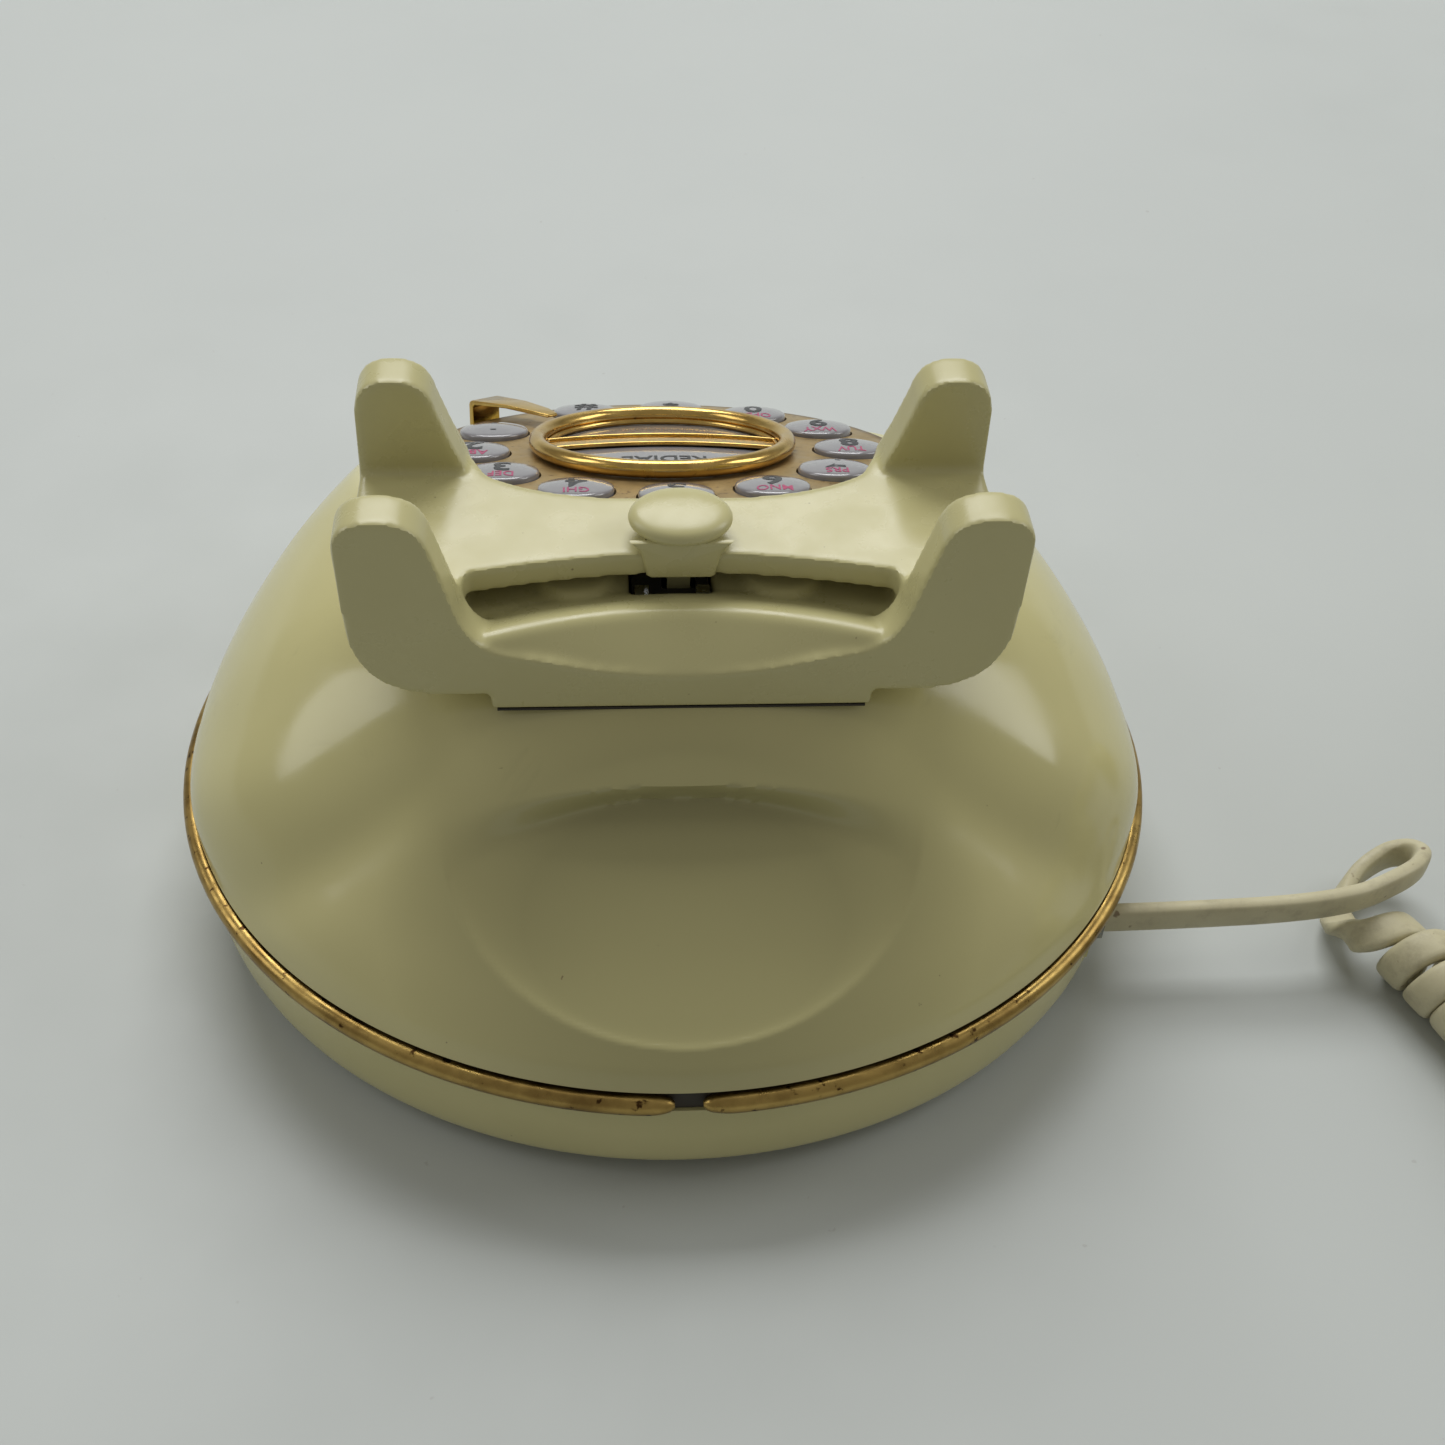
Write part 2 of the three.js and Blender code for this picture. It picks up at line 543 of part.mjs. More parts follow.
function cap(radius) {
  return solid(turned([
    [0, 0], [radius - 4, 0], [radius - 0.6, 2.6], [radius, CAP_H], [radius - 2, CAP_H],
    [radius - 2.4, 4], [0, 2.4],
  ], 28));
}
for (const [name, y] of [['earpiece', -CAP_SPACING], ['mouthpiece', CAP_SPACING]]) {
  place(`${name}_cap`, cap(29.4), ivory, handset).position.y = y;
  const bead = new THREE.TorusGeometry(28.4, 1.5, 6, 28);
  place(`${name}_ring`, solid(bead), gold, handset).position.set(0, y, CAP_H + 1.9);
}
place('earpiece_speaker', disc(18, 4.6, 11, 24), black, handset).position.y = -CAP_SPACING;
place('microphone', disc(7, 4.6, 10, 16), black, handset).position.y = CAP_SPACING;
place('handset_plug', box(-3.6, 3.6, 90, 103.6, SOCKET_Z - 2, SOCKET_Z + 2), clearPlug, handset);

// ---- cord ---------------------------------------------------------------------------
const plugBox = box(-81.4, -67, JACK_Y - 3.6, JACK_Y + 3.6, JACK_Z - 1.7, JACK_Z + 1.9);
place('base_plug', plugBox, clearPlug);

const LEAD = [
  [-81.7, JACK_Y, JACK_Z], [-92, JACK_Y, JACK_Z], [-104, 37.8, 14], [-116, 37.4, 13.8],
  [-125, 36.6, 13.9], [-131.4, 35, 14.2],
];
place('cord_lead', solid(sweep(LEAD, CORD_W / 2, 8, 6)), cordCream);

const COIL = [
  [-140.5, 23, COIL_R], [-140, 33, COIL_R], [-142.5, 44, COIL_R], [-149, 61, COIL_R],
  [-155.5, 84, COIL_R], [-159, 118, COIL_R], [-161, 145, COIL_R], [-169, 166, COIL_R],
  [-185, 175, COIL_R], [-199, 166, COIL_R], [-205, 148, COIL_R], [-209, 131, COIL_R],
];
place('cord_coil', solid(sweep(COIL, COIL_R, 12, 24)), cordCream);

// The short straight end rises from the coil to the plug in the handset.
const along = (distance, z) => [
  HANDSET_X - distance * Math.sin(HANDSET_TURN), HANDSET_Y + distance * Math.cos(HANDSET_TURN), z,
];
const TAIL = [[-209.5, 129, COIL_R], along(120, 10), along(113, 16.4), along(105, SOCKET_Z)];
place('cord_tail', solid(sweep(TAIL, CORD_W / 2, 8, 6)), cordCream);

export default group;
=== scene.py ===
"""Desk telephone: ivory shells, gold trim, a dial of push keys and a curly handset cord."""

import bmesh
import bpy
import numpy as np
from mathutils import Matrix, Vector


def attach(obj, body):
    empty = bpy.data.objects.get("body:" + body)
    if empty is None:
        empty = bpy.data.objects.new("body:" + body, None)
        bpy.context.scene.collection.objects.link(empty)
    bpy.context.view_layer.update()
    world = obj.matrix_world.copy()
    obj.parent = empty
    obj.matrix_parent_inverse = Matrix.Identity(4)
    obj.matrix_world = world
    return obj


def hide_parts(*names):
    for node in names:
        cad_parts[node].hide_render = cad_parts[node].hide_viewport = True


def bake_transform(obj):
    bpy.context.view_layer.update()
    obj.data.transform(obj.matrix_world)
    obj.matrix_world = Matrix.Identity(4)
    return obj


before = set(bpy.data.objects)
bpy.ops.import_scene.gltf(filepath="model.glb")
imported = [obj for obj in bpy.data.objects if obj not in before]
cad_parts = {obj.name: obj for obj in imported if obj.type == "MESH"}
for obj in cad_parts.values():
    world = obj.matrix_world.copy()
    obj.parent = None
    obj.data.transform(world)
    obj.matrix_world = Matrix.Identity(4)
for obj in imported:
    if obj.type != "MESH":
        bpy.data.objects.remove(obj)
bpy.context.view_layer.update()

# ---- lengths in millimetres ----------------------------------------------------------
MM = 0.001
FLOOR_Z = -3.0                  # the desk, under the feet
BODY_Z = 3.0                    # the plane that the body's heights are measured from
SHELL_LOW, SHELL_HIGH = 20.6, 63.1      # where the dome starts and where it is flat
SHELL_WALL = 2.4
SEAM_Z = 63.4                   # the cradle's underside
DECK_LOW, DECK_HIGH = 79.4, 84.0        # the saddle in front of the trough
PRONG_TOP = 102.6
TILT = np.radians(22.6)         # the dial leans back by this angle
DIAL_AT = np.array([0.0, -50.1, 53.5 + BODY_Z])
SEAT = -1.8                     # flat that the dial plate lies over
PLATE_R = 51.0
KEY_R = 7.2
KEY_PCD_R = 38.5                # the keys' middles lie on this circle
KEY_START, KEY_STEP = -24.0, 28.9       # degrees round the dial
BUTTON_R = 22.4
BUTTON_Y = 3.6                  # the half buttons start this far from the dial's middle
RING_A, RING_REAR, RING_FRONT = 92.6, 84.2, 89.0
TRIM_GAP = 2.4                  # half of the gold bead's opening at the rear
CAP_SPACING = 72.0              # from the handset's middle to each cap's
HANDSET_AT = np.array([-250.0, 12.0, FLOOR_Z])
HANDSET_TURN = -np.arctan2(0.335, 0.942)
CORD_W, CORD_T = 6.5, 3.3       # the ribbon's width and thickness
LEAD_W = 6.0                    # its width where it runs straight
COIL_R = 7.75
COIL_PITCH = 7.4
UP = np.array([0.0, 0.0, 1.0])


# ---- shapes --------------------------------------------------------------------------
def between(table, s):
    """Catmull-Rom line at row number s: the cubic through the rows that keeps their neighbours' slope."""
    table = np.asarray(table, float)
    i = np.clip(np.floor(s).astype(int), 0, len(table) - 2)
    t = (s - i)[..., None]
    a, b, c, d = (table[np.clip(i + k, 0, len(table) - 1)] for k in (-1, 0, 1, 2))
    return b + 0.5 * t * (c - a + t * (2 * a - 5 * b + 4 * c - d + t * (3 * b - a - 3 * c + d)))


def smooth_line(points, count):
    """The Catmull-Rom line through the points, at count places spaced evenly by row number."""
    return between(points, np.linspace(0, len(points) - 1, count))


def eased(points, passes=2, closed=False):
    """Corner cutting: each pass puts points at a quarter and three quarters of every side."""
    line = np.asarray(points, float)
    for _ in range(passes):
        ends = line[[0]], line[[-1]]
        after = np.roll(line, -1, 0) if closed else line[1:]
        before = line if closed else line[:-1]
        cut = np.stack([0.75 * before + 0.25 * after, 0.25 * before + 0.75 * after], 1)
        cut = cut.reshape(-1, line.shape[1])
        line = cut if closed else np.concatenate([ends[0], cut, ends[1]])
    return line


def bend(start, corner, end, count=9):
    """Quadratic curve: (1-t)^2 start + 2t(1-t) corner + t^2 end."""
    t = np.linspace(0, 1, count)[:, None]
    start, corner, end = (np.array(p, float) for p in (start, corner, end))
    return (1 - t) ** 2 * start + 2 * t * (1 - t) * corner + t ** 2 * end


def step(x):
    """Smooth step: 3x^2 - 2x^3 between 0 and 1."""
    x = np.clip(x, 0, 1)
    return x * x * (3 - 2 * x)


def unit(v):
    """Each vector over its own length."""
    return v / np.linalg.norm(v, axis=-1, keepdims=True)


def grid(P, around=True, loop=False):
    """Quads between the rows and columns of P; around joins the last column to the first, loop the rows."""
    rows, cols = P.shape[:2]
    r, c = np.meshgrid(
        np.arange(rows if loop else rows - 1), np.arange(cols if around else cols - 1),
        indexing="ij",
    )
    below, right = (r + 1) % rows, (c + 1) % cols
    quads = np.stack([r * cols + c, r * cols + right, below * cols + right, below * cols + c], -1)
    return P.reshape(-1, 3), quads.reshape(-1, 4).tolist()


def together(*parts):
    """One list of points and faces out of several."""
    points, faces, start = [], [], 0
    for p, f in parts:
        points.append(p)
        faces += [[i + start for i in face] for face in f]
        start += len(p)
    return np.concatenate(points), faces


def turned(profile, sides=96, at=(0, 0), squash=1.0, loop=False):
    """Surface of revolution: (r cos t, r sin t, z) for the profile's (r, z), squashed along Y."""
    profile = np.asarray(profile, float)
    t = np.linspace(0, 2 * np.pi, sides, endpoint=False)
    r, z = profile[:, :1], profile[:, 1:]
    P = np.stack([at[0] + r * np.cos(t), at[1] + squash * r * np.sin(t), z + 0 * t], -1)
    return grid(P, loop=loop)


def egg(profile, sides=200, loop=True):
    """As turned, with Y scaled to the base's rear reach behind the middle and its front reach before it."""
    points, faces = turned(profile, sides, loop=loop)
    points[:, 1] *= np.where(points[:, 1] > 0, RING_REAR, RING_FRONT) / RING_A
    return points, faces


def stacked(outline, levels):
    """The outline shrunk to its middle by each level's share, at that level's height; both ends close."""
    outline = np.asarray(outline, float)
    middle = outline.mean(0)
    levels = np.asarray(levels, float)
    flat = middle + (outline[None] - middle) * levels[:, 0, None, None]
    return grid(np.concatenate([flat, np.broadcast_to(levels[:, 1, None, None], flat[..., :1].shape)], -1))


def prism(outline, low, high, axis="z"):
    """A flat outline pulled straight from low to high, along Z, or along Y where it is given in X and Z."""
    outline = np.asarray(outline, float)
    n = len(outline)
    a = np.insert(outline, 2 if axis == "z" else 1, low, 1)
    b = np.insert(outline, 2 if axis == "z" else 1, high, 1)
    sides = [[i, (i + 1) % n, n + (i + 1) % n, n + i] for i in range(n)]
    return np.concatenate([a, b]), [list(range(n)), list(range(n, 2 * n)), *sides]


def block(x0, x1, y0, y1, z0, z1):
    """A box between two corners, to be fused or carved with."""
    return prism([[x0, y0], [x1, y0], [x1, y1], [x0, y1]], z0, z1)


def tube(path, across, upward, width, height, sides=16, power=2.4):
    """A superellipse |u|^p + |v|^p = 1 of that width and height carried along the path, with shut ends."""
    t = np.linspace(0, 2 * np.pi, sides, endpoint=False)
    u = np.sign(np.cos(t)) * np.abs(np.cos(t)) ** (2 / power)
    v = np.sign(np.sin(t)) * np.abs(np.sin(t)) ** (2 / power)
    width, height = (np.broadcast_to(x, len(path))[:, None, None] / 2 for x in (width, height))
    sideways = width * u[None, :, None] * across[:, None]
    P = path[:, None] + sideways + height * v[None, :, None] * upward[:, None]
    first, last = (np.broadcast_to(row.mean(1, keepdims=True), (1, sides, 3)) for row in (P[:1], P[-1:]))
    return grid(np.concatenate([first, P, last]))


def on_dial(part):
    """Turned by the dial's tilt about X and moved to its middle."""
    points, faces = part
    c, s = np.cos(TILT), np.sin(TILT)
    x, y, z = points.T
    return np.stack([x, c * y - s * z, s * y + c * z], 1) + DIAL_AT, faces


def on_handset(part):
    """Turned about Z and moved to where the handset lies."""
    points, faces = part
    c, s = np.cos(HANDSET_TURN), np.sin(HANDSET_TURN)
    x, y, z = points.T
    return np.stack([c * x - s * y, s * x + c * y, z], 1) + HANDSET_AT, faces


def lifted(part, dz=BODY_Z):
    """Moved up by dz."""
    return part[0] + np.array([0, 0, dz]), part[1]


# ---- making pieces -------------------------------------------------------------------
def mesh_of(name, part, sharp=40.0):
    """A mesh in metres, welded at seams and poles, faces outward, smooth up to the sharp angle."""
    points, faces = part
    mesh = bpy.data.meshes.new(name)
    mesh.from_pydata((points * MM).tolist(), [], faces)
    bm = bmesh.new()
    bm.from_mesh(mesh)
    bmesh.ops.remove_doubles(bm, verts=bm.verts, dist=2e-6)
    bmesh.ops.dissolve_degenerate(bm, edges=bm.edges, dist=1e-7)
    bmesh.ops.recalc_face_normals(bm, faces=bm.faces)
    bm.to_mesh(mesh)
    bm.free()
    mesh.shade_smooth()
    mesh.set_sharp_from_angle(angle=np.radians(sharp))
    return mesh


def piece(name, part, body, material, stands_for=(), sharp=40.0):
    """A finished piece that rides on a body, in place of the named solids."""
    mesh = part if isinstance(part, bpy.types.Mesh) else mesh_of(name, part, sharp)
    mesh.name = name
    mesh.materials.clear()
    mesh.materials.append(material)
    made = bpy.data.objects.new(name, mesh)
    bpy.context.scene.collection.objects.link(made)
    if body:
        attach(made, body)
    if stands_for:
        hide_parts(*stands_for)
    return made


def modified(mesh, *modifiers):
    """The mesh after the modifiers, each a type and its settings."""
    holder = bpy.data.objects.new("holder", mesh)
    bpy.context.scene.collection.objects.link(holder)
    for kind, settings in modifiers:
        modifier = holder.modifiers.new(kind, kind)
        for key, value in settings.items():
            setattr(modifier, key, value)
    ready = holder.evaluated_get(bpy.context.evaluated_depsgraph_get())
    result = bpy.data.meshes.new_from_object(ready)
    bpy.data.objects.remove(holder)
    return result


def fused(name, parts, voxel, passes):
    """Overlapping closed parts made one skin of even cells, whose edges are then softened."""
    mesh = mesh_of(name, together(*parts))
    mesh = modified(
        mesh,
        ("REMESH", {"mode": "VOXEL", "voxel_size": voxel * MM, "use_smooth_shade": True}),
        ("SMOOTH", {"factor": 0.5, "iterations": passes}),
    )
    mesh.shade_smooth()
    return mesh


def carved(mesh, cutter, sharp=35.0):
    """The mesh less the closed cutter."""
    tool = bpy.data.objects.new("cutter", mesh_of("cutter", cutter))
    bpy.context.scene.collection.objects.link(tool)
    result = modified(mesh, ("BOOLEAN", {"operation": "DIFFERENCE", "solver": "EXACT", "object": tool}))
    bpy.data.objects.remove(tool)
    result.shade_smooth()
    result.set_sharp_from_angle(angle=np.radians(sharp))
    return result


# ---- finishes ------------------------------------------------------------------------
class Paint:
    """A material under construction: nodes are added and wired by short calls."""

    def __init__(self, name, **uniform):
        self.material = bpy.data.materials.new(name)
        self.material.use_nodes = True
        self.tree = self.material.node_tree
        self.shader = self.tree.nodes["Principled BSDF"]
        self.place = self.node("ShaderNodeTexCoord").outputs["Object"]
        for socket, value in uniform.items():
            self.shader.inputs[socket.replace("_", " ")].default_value = value

    def node(self, kind, **settings):
        """A new node of that kind, with its settings."""
        made = self.tree.nodes.new(kind)
        for key, value in settings.items():
            setattr(made, key, value)
        return made

    def wire(self, source, target):
        """A link from an output to an input."""
        self.tree.links.new(source, target)

    def stretched(self, scale, location):
        """The object's coordinates, scaled and moved."""
        made = self.node("ShaderNodeMapping")
        made.inputs["Scale"].default_value = scale
        made.inputs["Location"].default_value = location
        self.wire(self.place, made.inputs["Vector"])
        return made.outputs["Vector"]

    def noise(self, scale, detail=4.0, roughness=0.55, distortion=0.0):
        """Fractal noise over the object's coordinates."""
        made = self.node("ShaderNodeTexNoise")
        made.inputs["Scale"].default_value = scale
        made.inputs["Detail"].default_value = detail
        made.inputs["Roughness"].default_value = roughness
        made.inputs["Distortion"].default_value = distortion
        self.wire(self.place, made.inputs["Vector"])
        return made.outputs["Fac"]

    def ramp(self, value, low, high, out=(0.0, 1.0)):
        """low..high of the value onto out's range, held outside it."""
        made = self.node("ShaderNodeMapRange")
        for socket, number in zip(("From Min", "From Max", "To Min", "To Max"), (low, high, *out)):
            made.inputs[socket].default_value = number
        self.wire(value, made.inputs["Value"])
        return made.outputs["Result"]

    def mix(self, share, a, b):
        """Colour a where the share is 0, b where it is 1; a and b are colours or outputs."""
        made = self.node("ShaderNodeMix", data_type="RGBA")
        self.wire(share, made.inputs["Factor"])
        for socket, value in ((made.inputs[6], a), (made.inputs[7], b)):
            if isinstance(value, bpy.types.NodeSocket):
                self.wire(value, socket)
            else:
                socket.default_value = (*value, 1)
        return made.outputs[2]

    def bumps(self, *heights):
        """Bump nodes in a row, one for each (height, strength, distance in metres)."""
        normal = None
        for height, strength, distance in heights:
            made = self.node("ShaderNodeBump")
            made.inputs["Strength"].default_value = strength
            made.inputs["Distance"].default_value = distance
            self.wire(height, made.inputs["Height"])
            if normal:
                self.wire(normal, made.inputs["Normal"])
            normal = made.outputs["Normal"]
        self.wire(normal, self.shader.inputs["Normal"])

    def done(self, colour, roughness):
        """The finished material, with its colour and roughness wired in."""
        self.wire(colour, self.shader.inputs["Base Color"])
        self.wire(roughness, self.shader.inputs["Roughness"])
        return self.material


def moulded_plastic(name, tone, aged, specks, gloss=(0.1, 0.24), coat=0.0, hollow=None):
    """Glossy moulding: two tones in broad patches, rare dirt specks, faint smears and a slow ripple.
    A hollow (middle and radii in mm) is darkened toward its middle as painted shade of the recess under its
    lip."""
    paint = Paint(name, Specular_IOR_Level=0.5, Coat_Weight=coat, Coat_Roughness=0.06)
    colour = paint.mix(paint.ramp(paint.noise(16, 3), 0.35, 0.68), tone, aged)
    if hollow:
        middle, radii = np.array(hollow) * MM
        reach = paint.node("ShaderNodeVectorMath", operation="LENGTH")
        paint.wire(paint.stretched(tuple(1 / radii), tuple(-middle / radii)), reach.inputs[0])
        # painted shade: the hollow's middle falls to two thirds of the tone, as if shaded by the lip above
        # it
        hollow_shade = paint.ramp(reach.outputs["Value"], 0.6, 1.15, (1.0, 0.0))
        colour = paint.mix(hollow_shade, colour, tuple(0.66 * c for c in tone))
    smear = paint.ramp(paint.noise(55, 6, 0.62, distortion=0.8), 0.66, 0.8, (0.0, 0.35))
    colour = paint.mix(smear, colour, tuple(0.62 * c for c in aged))
    dirt = paint.ramp(paint.noise(520, 2, 0.5), specks, specks + 0.05, (0.0, 0.8))
    colour = paint.mix(dirt, colour, (0.16, 0.11, 0.06))
    fine = paint.noise(2600, 3)
    paint.bumps((paint.noise(38, 2), 0.12, 0.0012), (fine, 0.05, 0.00006))
    rough = paint.ramp(paint.noise(90, 5, 0.6), 0.35, 0.72, gloss)
    return paint.done(colour, rough)


def worn_gold(name, bright, dull, gloss, pits=0.63):
    """Gold plating: bright and dull patches, brown pits, and a lightly pitted surface."""
    paint = Paint(name, Metallic=1.0)
    colour = paint.mix(paint.ramp(paint.noise(120, 5, 0.6), 0.4, 0.66), bright, dull)
    pit = paint.ramp(paint.noise(430, 3, 0.55), pits, pits + 0.06)
    colour = paint.mix(pit, colour, (0.07, 0.035, 0.012))
    paint.bumps((paint.noise(600, 4), 0.18, 0.00012))
    rough = paint.ramp(paint.noise(210, 5), 0.35, 0.7, gloss)
    return paint.done(colour, rough)


def plain_part(name, tone, shade, rough, metallic=0.0, grain=900, bump=0.15, **uniform):
    """Small hardware: a cloudy tone with fine grain."""
    paint = Paint(name, Metallic=metallic, **uniform)
    colour = paint.mix(paint.ramp(paint.noise(grain / 8, 4), 0.35, 0.68), tone, shade)
    paint.bumps((paint.noise(grain, 3), bump, 0.0001))
    return paint.done(colour, paint.ramp(paint.noise(grain / 4, 3), 0.3, 0.7, rough))


def cord_skin():
    """Soft vinyl: cream, greyed by handling in patches, with brown marks and a dull sheen."""
    paint = Paint("cord_vinyl", Specular_IOR_Level=0.4, Sheen_Weight=0.08)
    colour = paint.mix(paint.ramp(paint.noise(70, 4), 0.35, 0.7), (0.57, 0.525, 0.345), (0.49, 0.445, 0.285))
    handled = paint.ramp(paint.noise(210, 6, 0.7), 0.5, 0.78, (0.0, 0.75))
    colour = paint.mix(handled, colour, (0.33, 0.29, 0.19))
    mark = paint.ramp(paint.noise(330, 2), 0.7, 0.75, (0.0, 0.8))
    colour = paint.mix(mark, colour, (0.16, 0.1, 0.05))
    paint.bumps((paint.noise(160, 4), 0.25, 0.0006), (paint.noise(1800, 3), 0.12, 0.00008))
    return paint.done(colour, paint.ramp(paint.noise(140, 4), 0.3, 0.7, (0.38, 0.62)))


def dial_gold():
    """Satin gold that darkens to brown at the plate's rim, by the distance from the dial's middle: painted
    shade on the plate's sloped outer skirt.
    """
    paint = Paint("dial_satin_gold", Metallic=0.75)
    middle = paint.node("ShaderNodeVectorMath", operation="SUBTRACT")
    middle.inputs[1].default_value = tuple(DIAL_AT * MM)
    paint.wire(paint.place, middle.inputs[0])
    reach = paint.node("ShaderNodeVectorMath", operation="LENGTH")
    paint.wire(middle.outputs["Vector"], reach.inputs[0])
    colour = paint.mix(paint.ramp(paint.noise(150, 5), 0.38, 0.66), (0.42, 0.3, 0.135), (0.35, 0.245, 0.105))
    # painted shade: from 47.8 to 50.2 mm out, the sloped outer skirt turns dark brown as if in shadow
    rim = paint.ramp(reach.outputs["Value"], 0.0478, 0.0502)
    colour = paint.mix(rim, colour, (0.1, 0.055, 0.022))
    grime = paint.ramp(paint.noise(600, 3), 0.62, 0.7, (0.0, 0.7))
    colour = paint.mix(grime, colour, (0.12, 0.07, 0.03))
    paint.bumps((paint.noise(1500, 3), 0.12, 0.00008))
    return paint.done(colour, paint.ramp(paint.noise(260, 4), 0.3, 0.7, (0.34, 0.52)))


# The hollow is the half-moon pressed into the rear of the dome; its darkening is painted shade, not wear.
IVORY = moulded_plastic(
    "ivory_gloss", (0.56, 0.515, 0.245), (0.6, 0.55, 0.275), 0.785, hollow=((0, 62, 43), (46, 34, 34)),
)
IVORY_CRADLE = moulded_plastic(
    "ivory_cradle", (0.53, 0.49, 0.245), (0.495, 0.455, 0.225), 0.765, gloss=(0.22, 0.42),
)
IVORY_HANDSET = moulded_plastic("ivory_handset", (0.6, 0.56, 0.29), (0.56, 0.515, 0.265), 0.77)
KEY_CAP = moulded_plastic(
    "key_cap_white", (0.26, 0.25, 0.265), (0.235, 0.225, 0.24), 0.75, gloss=(0.08, 0.2), coat=0.7,
)
TRIM_GOLD = worn_gold("trim_gold_worn", (0.46, 0.315, 0.1), (0.26, 0.165, 0.05), (0.25, 0.48))
RING_GOLD = worn_gold("ring_gold_polished", (0.72, 0.49, 0.16), (0.55, 0.35, 0.1), (0.14, 0.3), pits=0.7)
DIAL_GOLD = dial_gold()
CORD = cord_skin()
BLACK = plain_part("black_moulding", (0.012, 0.012, 0.014), (0.03, 0.03, 0.032), (0.32, 0.5))
STEEL = plain_part("bright_steel", (0.55, 0.56, 0.58), (0.4, 0.41, 0.43), (0.22, 0.42), metallic=1.0)
RUBBER = plain_part(
    "grey_rubber", (0.09, 0.09, 0.1), (0.06, 0.06, 0.065), (0.65, 0.85), grain=1400, bump=0.3,
)
BOARD = plain_part("board_green", (0.02, 0.13, 0.06), (0.03, 0.17, 0.08), (0.3, 0.5))
CLEAR = plain_part(
    "clear_plug", (0.75, 0.78, 0.76), (0.68, 0.7, 0.68), (0.08, 0.2), bump=0.05, Transmission_Weight=0.75,
)
PRINT_BLACK = plain_part("print_black", (0.012, 0.012, 0.015), (0.03, 0.03, 0.035), (0.3, 0.45), bump=0.05)
PRINT_RED = plain_part("print_red", (0.45, 0.05, 0.14), (0.36, 0.06, 0.16), (0.3, 0.45), bump=0.05)
DARK_GAP = plain_part("seam_shadow", (0.02, 0.016, 0.01), (0.035, 0.028, 0.018), (0.6, 0.8))


# ---- camera and light ----------------------------------------------------------------
def set_camera():
    """Where the eye stands, its heading, its dip below level and its roll."""
    yaw, dip, roll = np.radians([-5.73, 44.01, 3.18])
    ahead = np.array([np.sin(yaw) * np.cos(dip), -np.cos(yaw) * np.cos(dip), -np.sin(dip)])
    right = np.cross(ahead, [0, 0, 1.0])
    right /= np.linalg.norm(right)
    up = np.cross(right, ahead)
    x = right * np.cos(roll) + up * np.sin(roll)
    y = up * np.cos(roll) - right * np.sin(roll)
    data = bpy.data.cameras.new("camera")
    data.sensor_width = 36.0
    data.lens = 44.844
    data.clip_start = 0.01
    camera = bpy.data.objects.new("camera", data)
    turn = Matrix(np.stack([x, y, -ahead], 1).tolist()).to_4x4()
    camera.matrix_world = Matrix.Translation((0.0151, 0.2549, 0.2753)) @ turn
    bpy.context.scene.collection.objects.link(camera)
    bpy.context.scene.camera = camera


def area_light(name, at, aim, size, power, colour):
    """A rectangular lamp that faces a point."""
    data = bpy.data.lights.new(name, "AREA")
    data.shape = "RECTANGLE"
    data.size, data.size_y = size
    data.energy = power
    data.color = colour
    lamp = bpy.data.objects.new(name, data)
    lamp.location = at
    lamp.rotation_euler = (Vector(aim) - Vector(at)).to_track_quat("-Z", "Y").to_euler()
    bpy.context.scene.collection.objects.link(lamp)


def floor():
    """A wide pale sheet with faint dust; far behind it rises with the square of the distance."""
    x = np.linspace(-3000, 3000, 25)
    y = np.linspace(-3200, 2600, 49)
    X, Y = np.meshgrid(x, y)
    Z = FLOOR_Z + 0.0006 * np.clip(-1700 - Y, 0, None) ** 2
    made = bpy.data.objects.new("floor", mesh_of("floor", grid(np.stack([X, Y, Z], -1), around=False)))
    bpy.context.scene.collection.objects.link(made)
    paint = Paint("pale_table", Specular_IOR_Level=0.35)
    colour = paint.mix(paint.ramp(paint.noise(5, 4), 0.35, 0.7), (0.52, 0.545, 0.528), (0.5, 0.526, 0.51))
    dust = paint.ramp(paint.noise(300, 2), 0.76, 0.79, (0.0, 0.5))
    colour = paint.mix(dust, colour, (0.4, 0.4, 0.38))
    paint.bumps((paint.noise(900, 3), 0.05, 0.0001))
    made.data.materials.append(paint.done(colour, paint.ramp(paint.noise(30, 4), 0.3, 0.7, (0.42, 0.55))))


def set_light():
    """Pale room light, a soft lamp above and in front, and a weak one at each side."""
    scene = bpy.context.scene
    scene.view_settings.view_transform = "Standard"
    world = bpy.data.worlds.new("room")
    world.use_nodes = True
    world.node_tree.nodes["Background"].inputs["Color"].default_value = (1.0, 0.975, 0.9, 1)
    world.node_tree.nodes["Background"].inputs["Strength"].default_value = 0.27
    scene.world = world
    area_light("ceiling_light", (0.1, -2.1, 2.6), (0, -0.02, 0), (2.4, 1.8), 78, (0.98, 0.99, 1.0))
    area_light("side_light", (-1.3, -0.2, 0.9), (0, 0, 0.02), (0.6, 0.8), 4.5, (0.97, 0.99, 1.0))
    area_light("other_side_light", (1.3, -0.2, 0.9), (0, 0, 0.02), (0.6, 0.8), 3.5, (0.97, 0.99, 1.0))


set_camera()
set_light()
floor()


# ---- cord ----------------------------------------------------------------------------
JOINT_REACH, JOINT_PASSES = 16, 40      # points each side of a joint that are evened out, and how often
TAIL_POINTS = 18                # the cord narrows into its plug over these
TAIL_W = 5.0


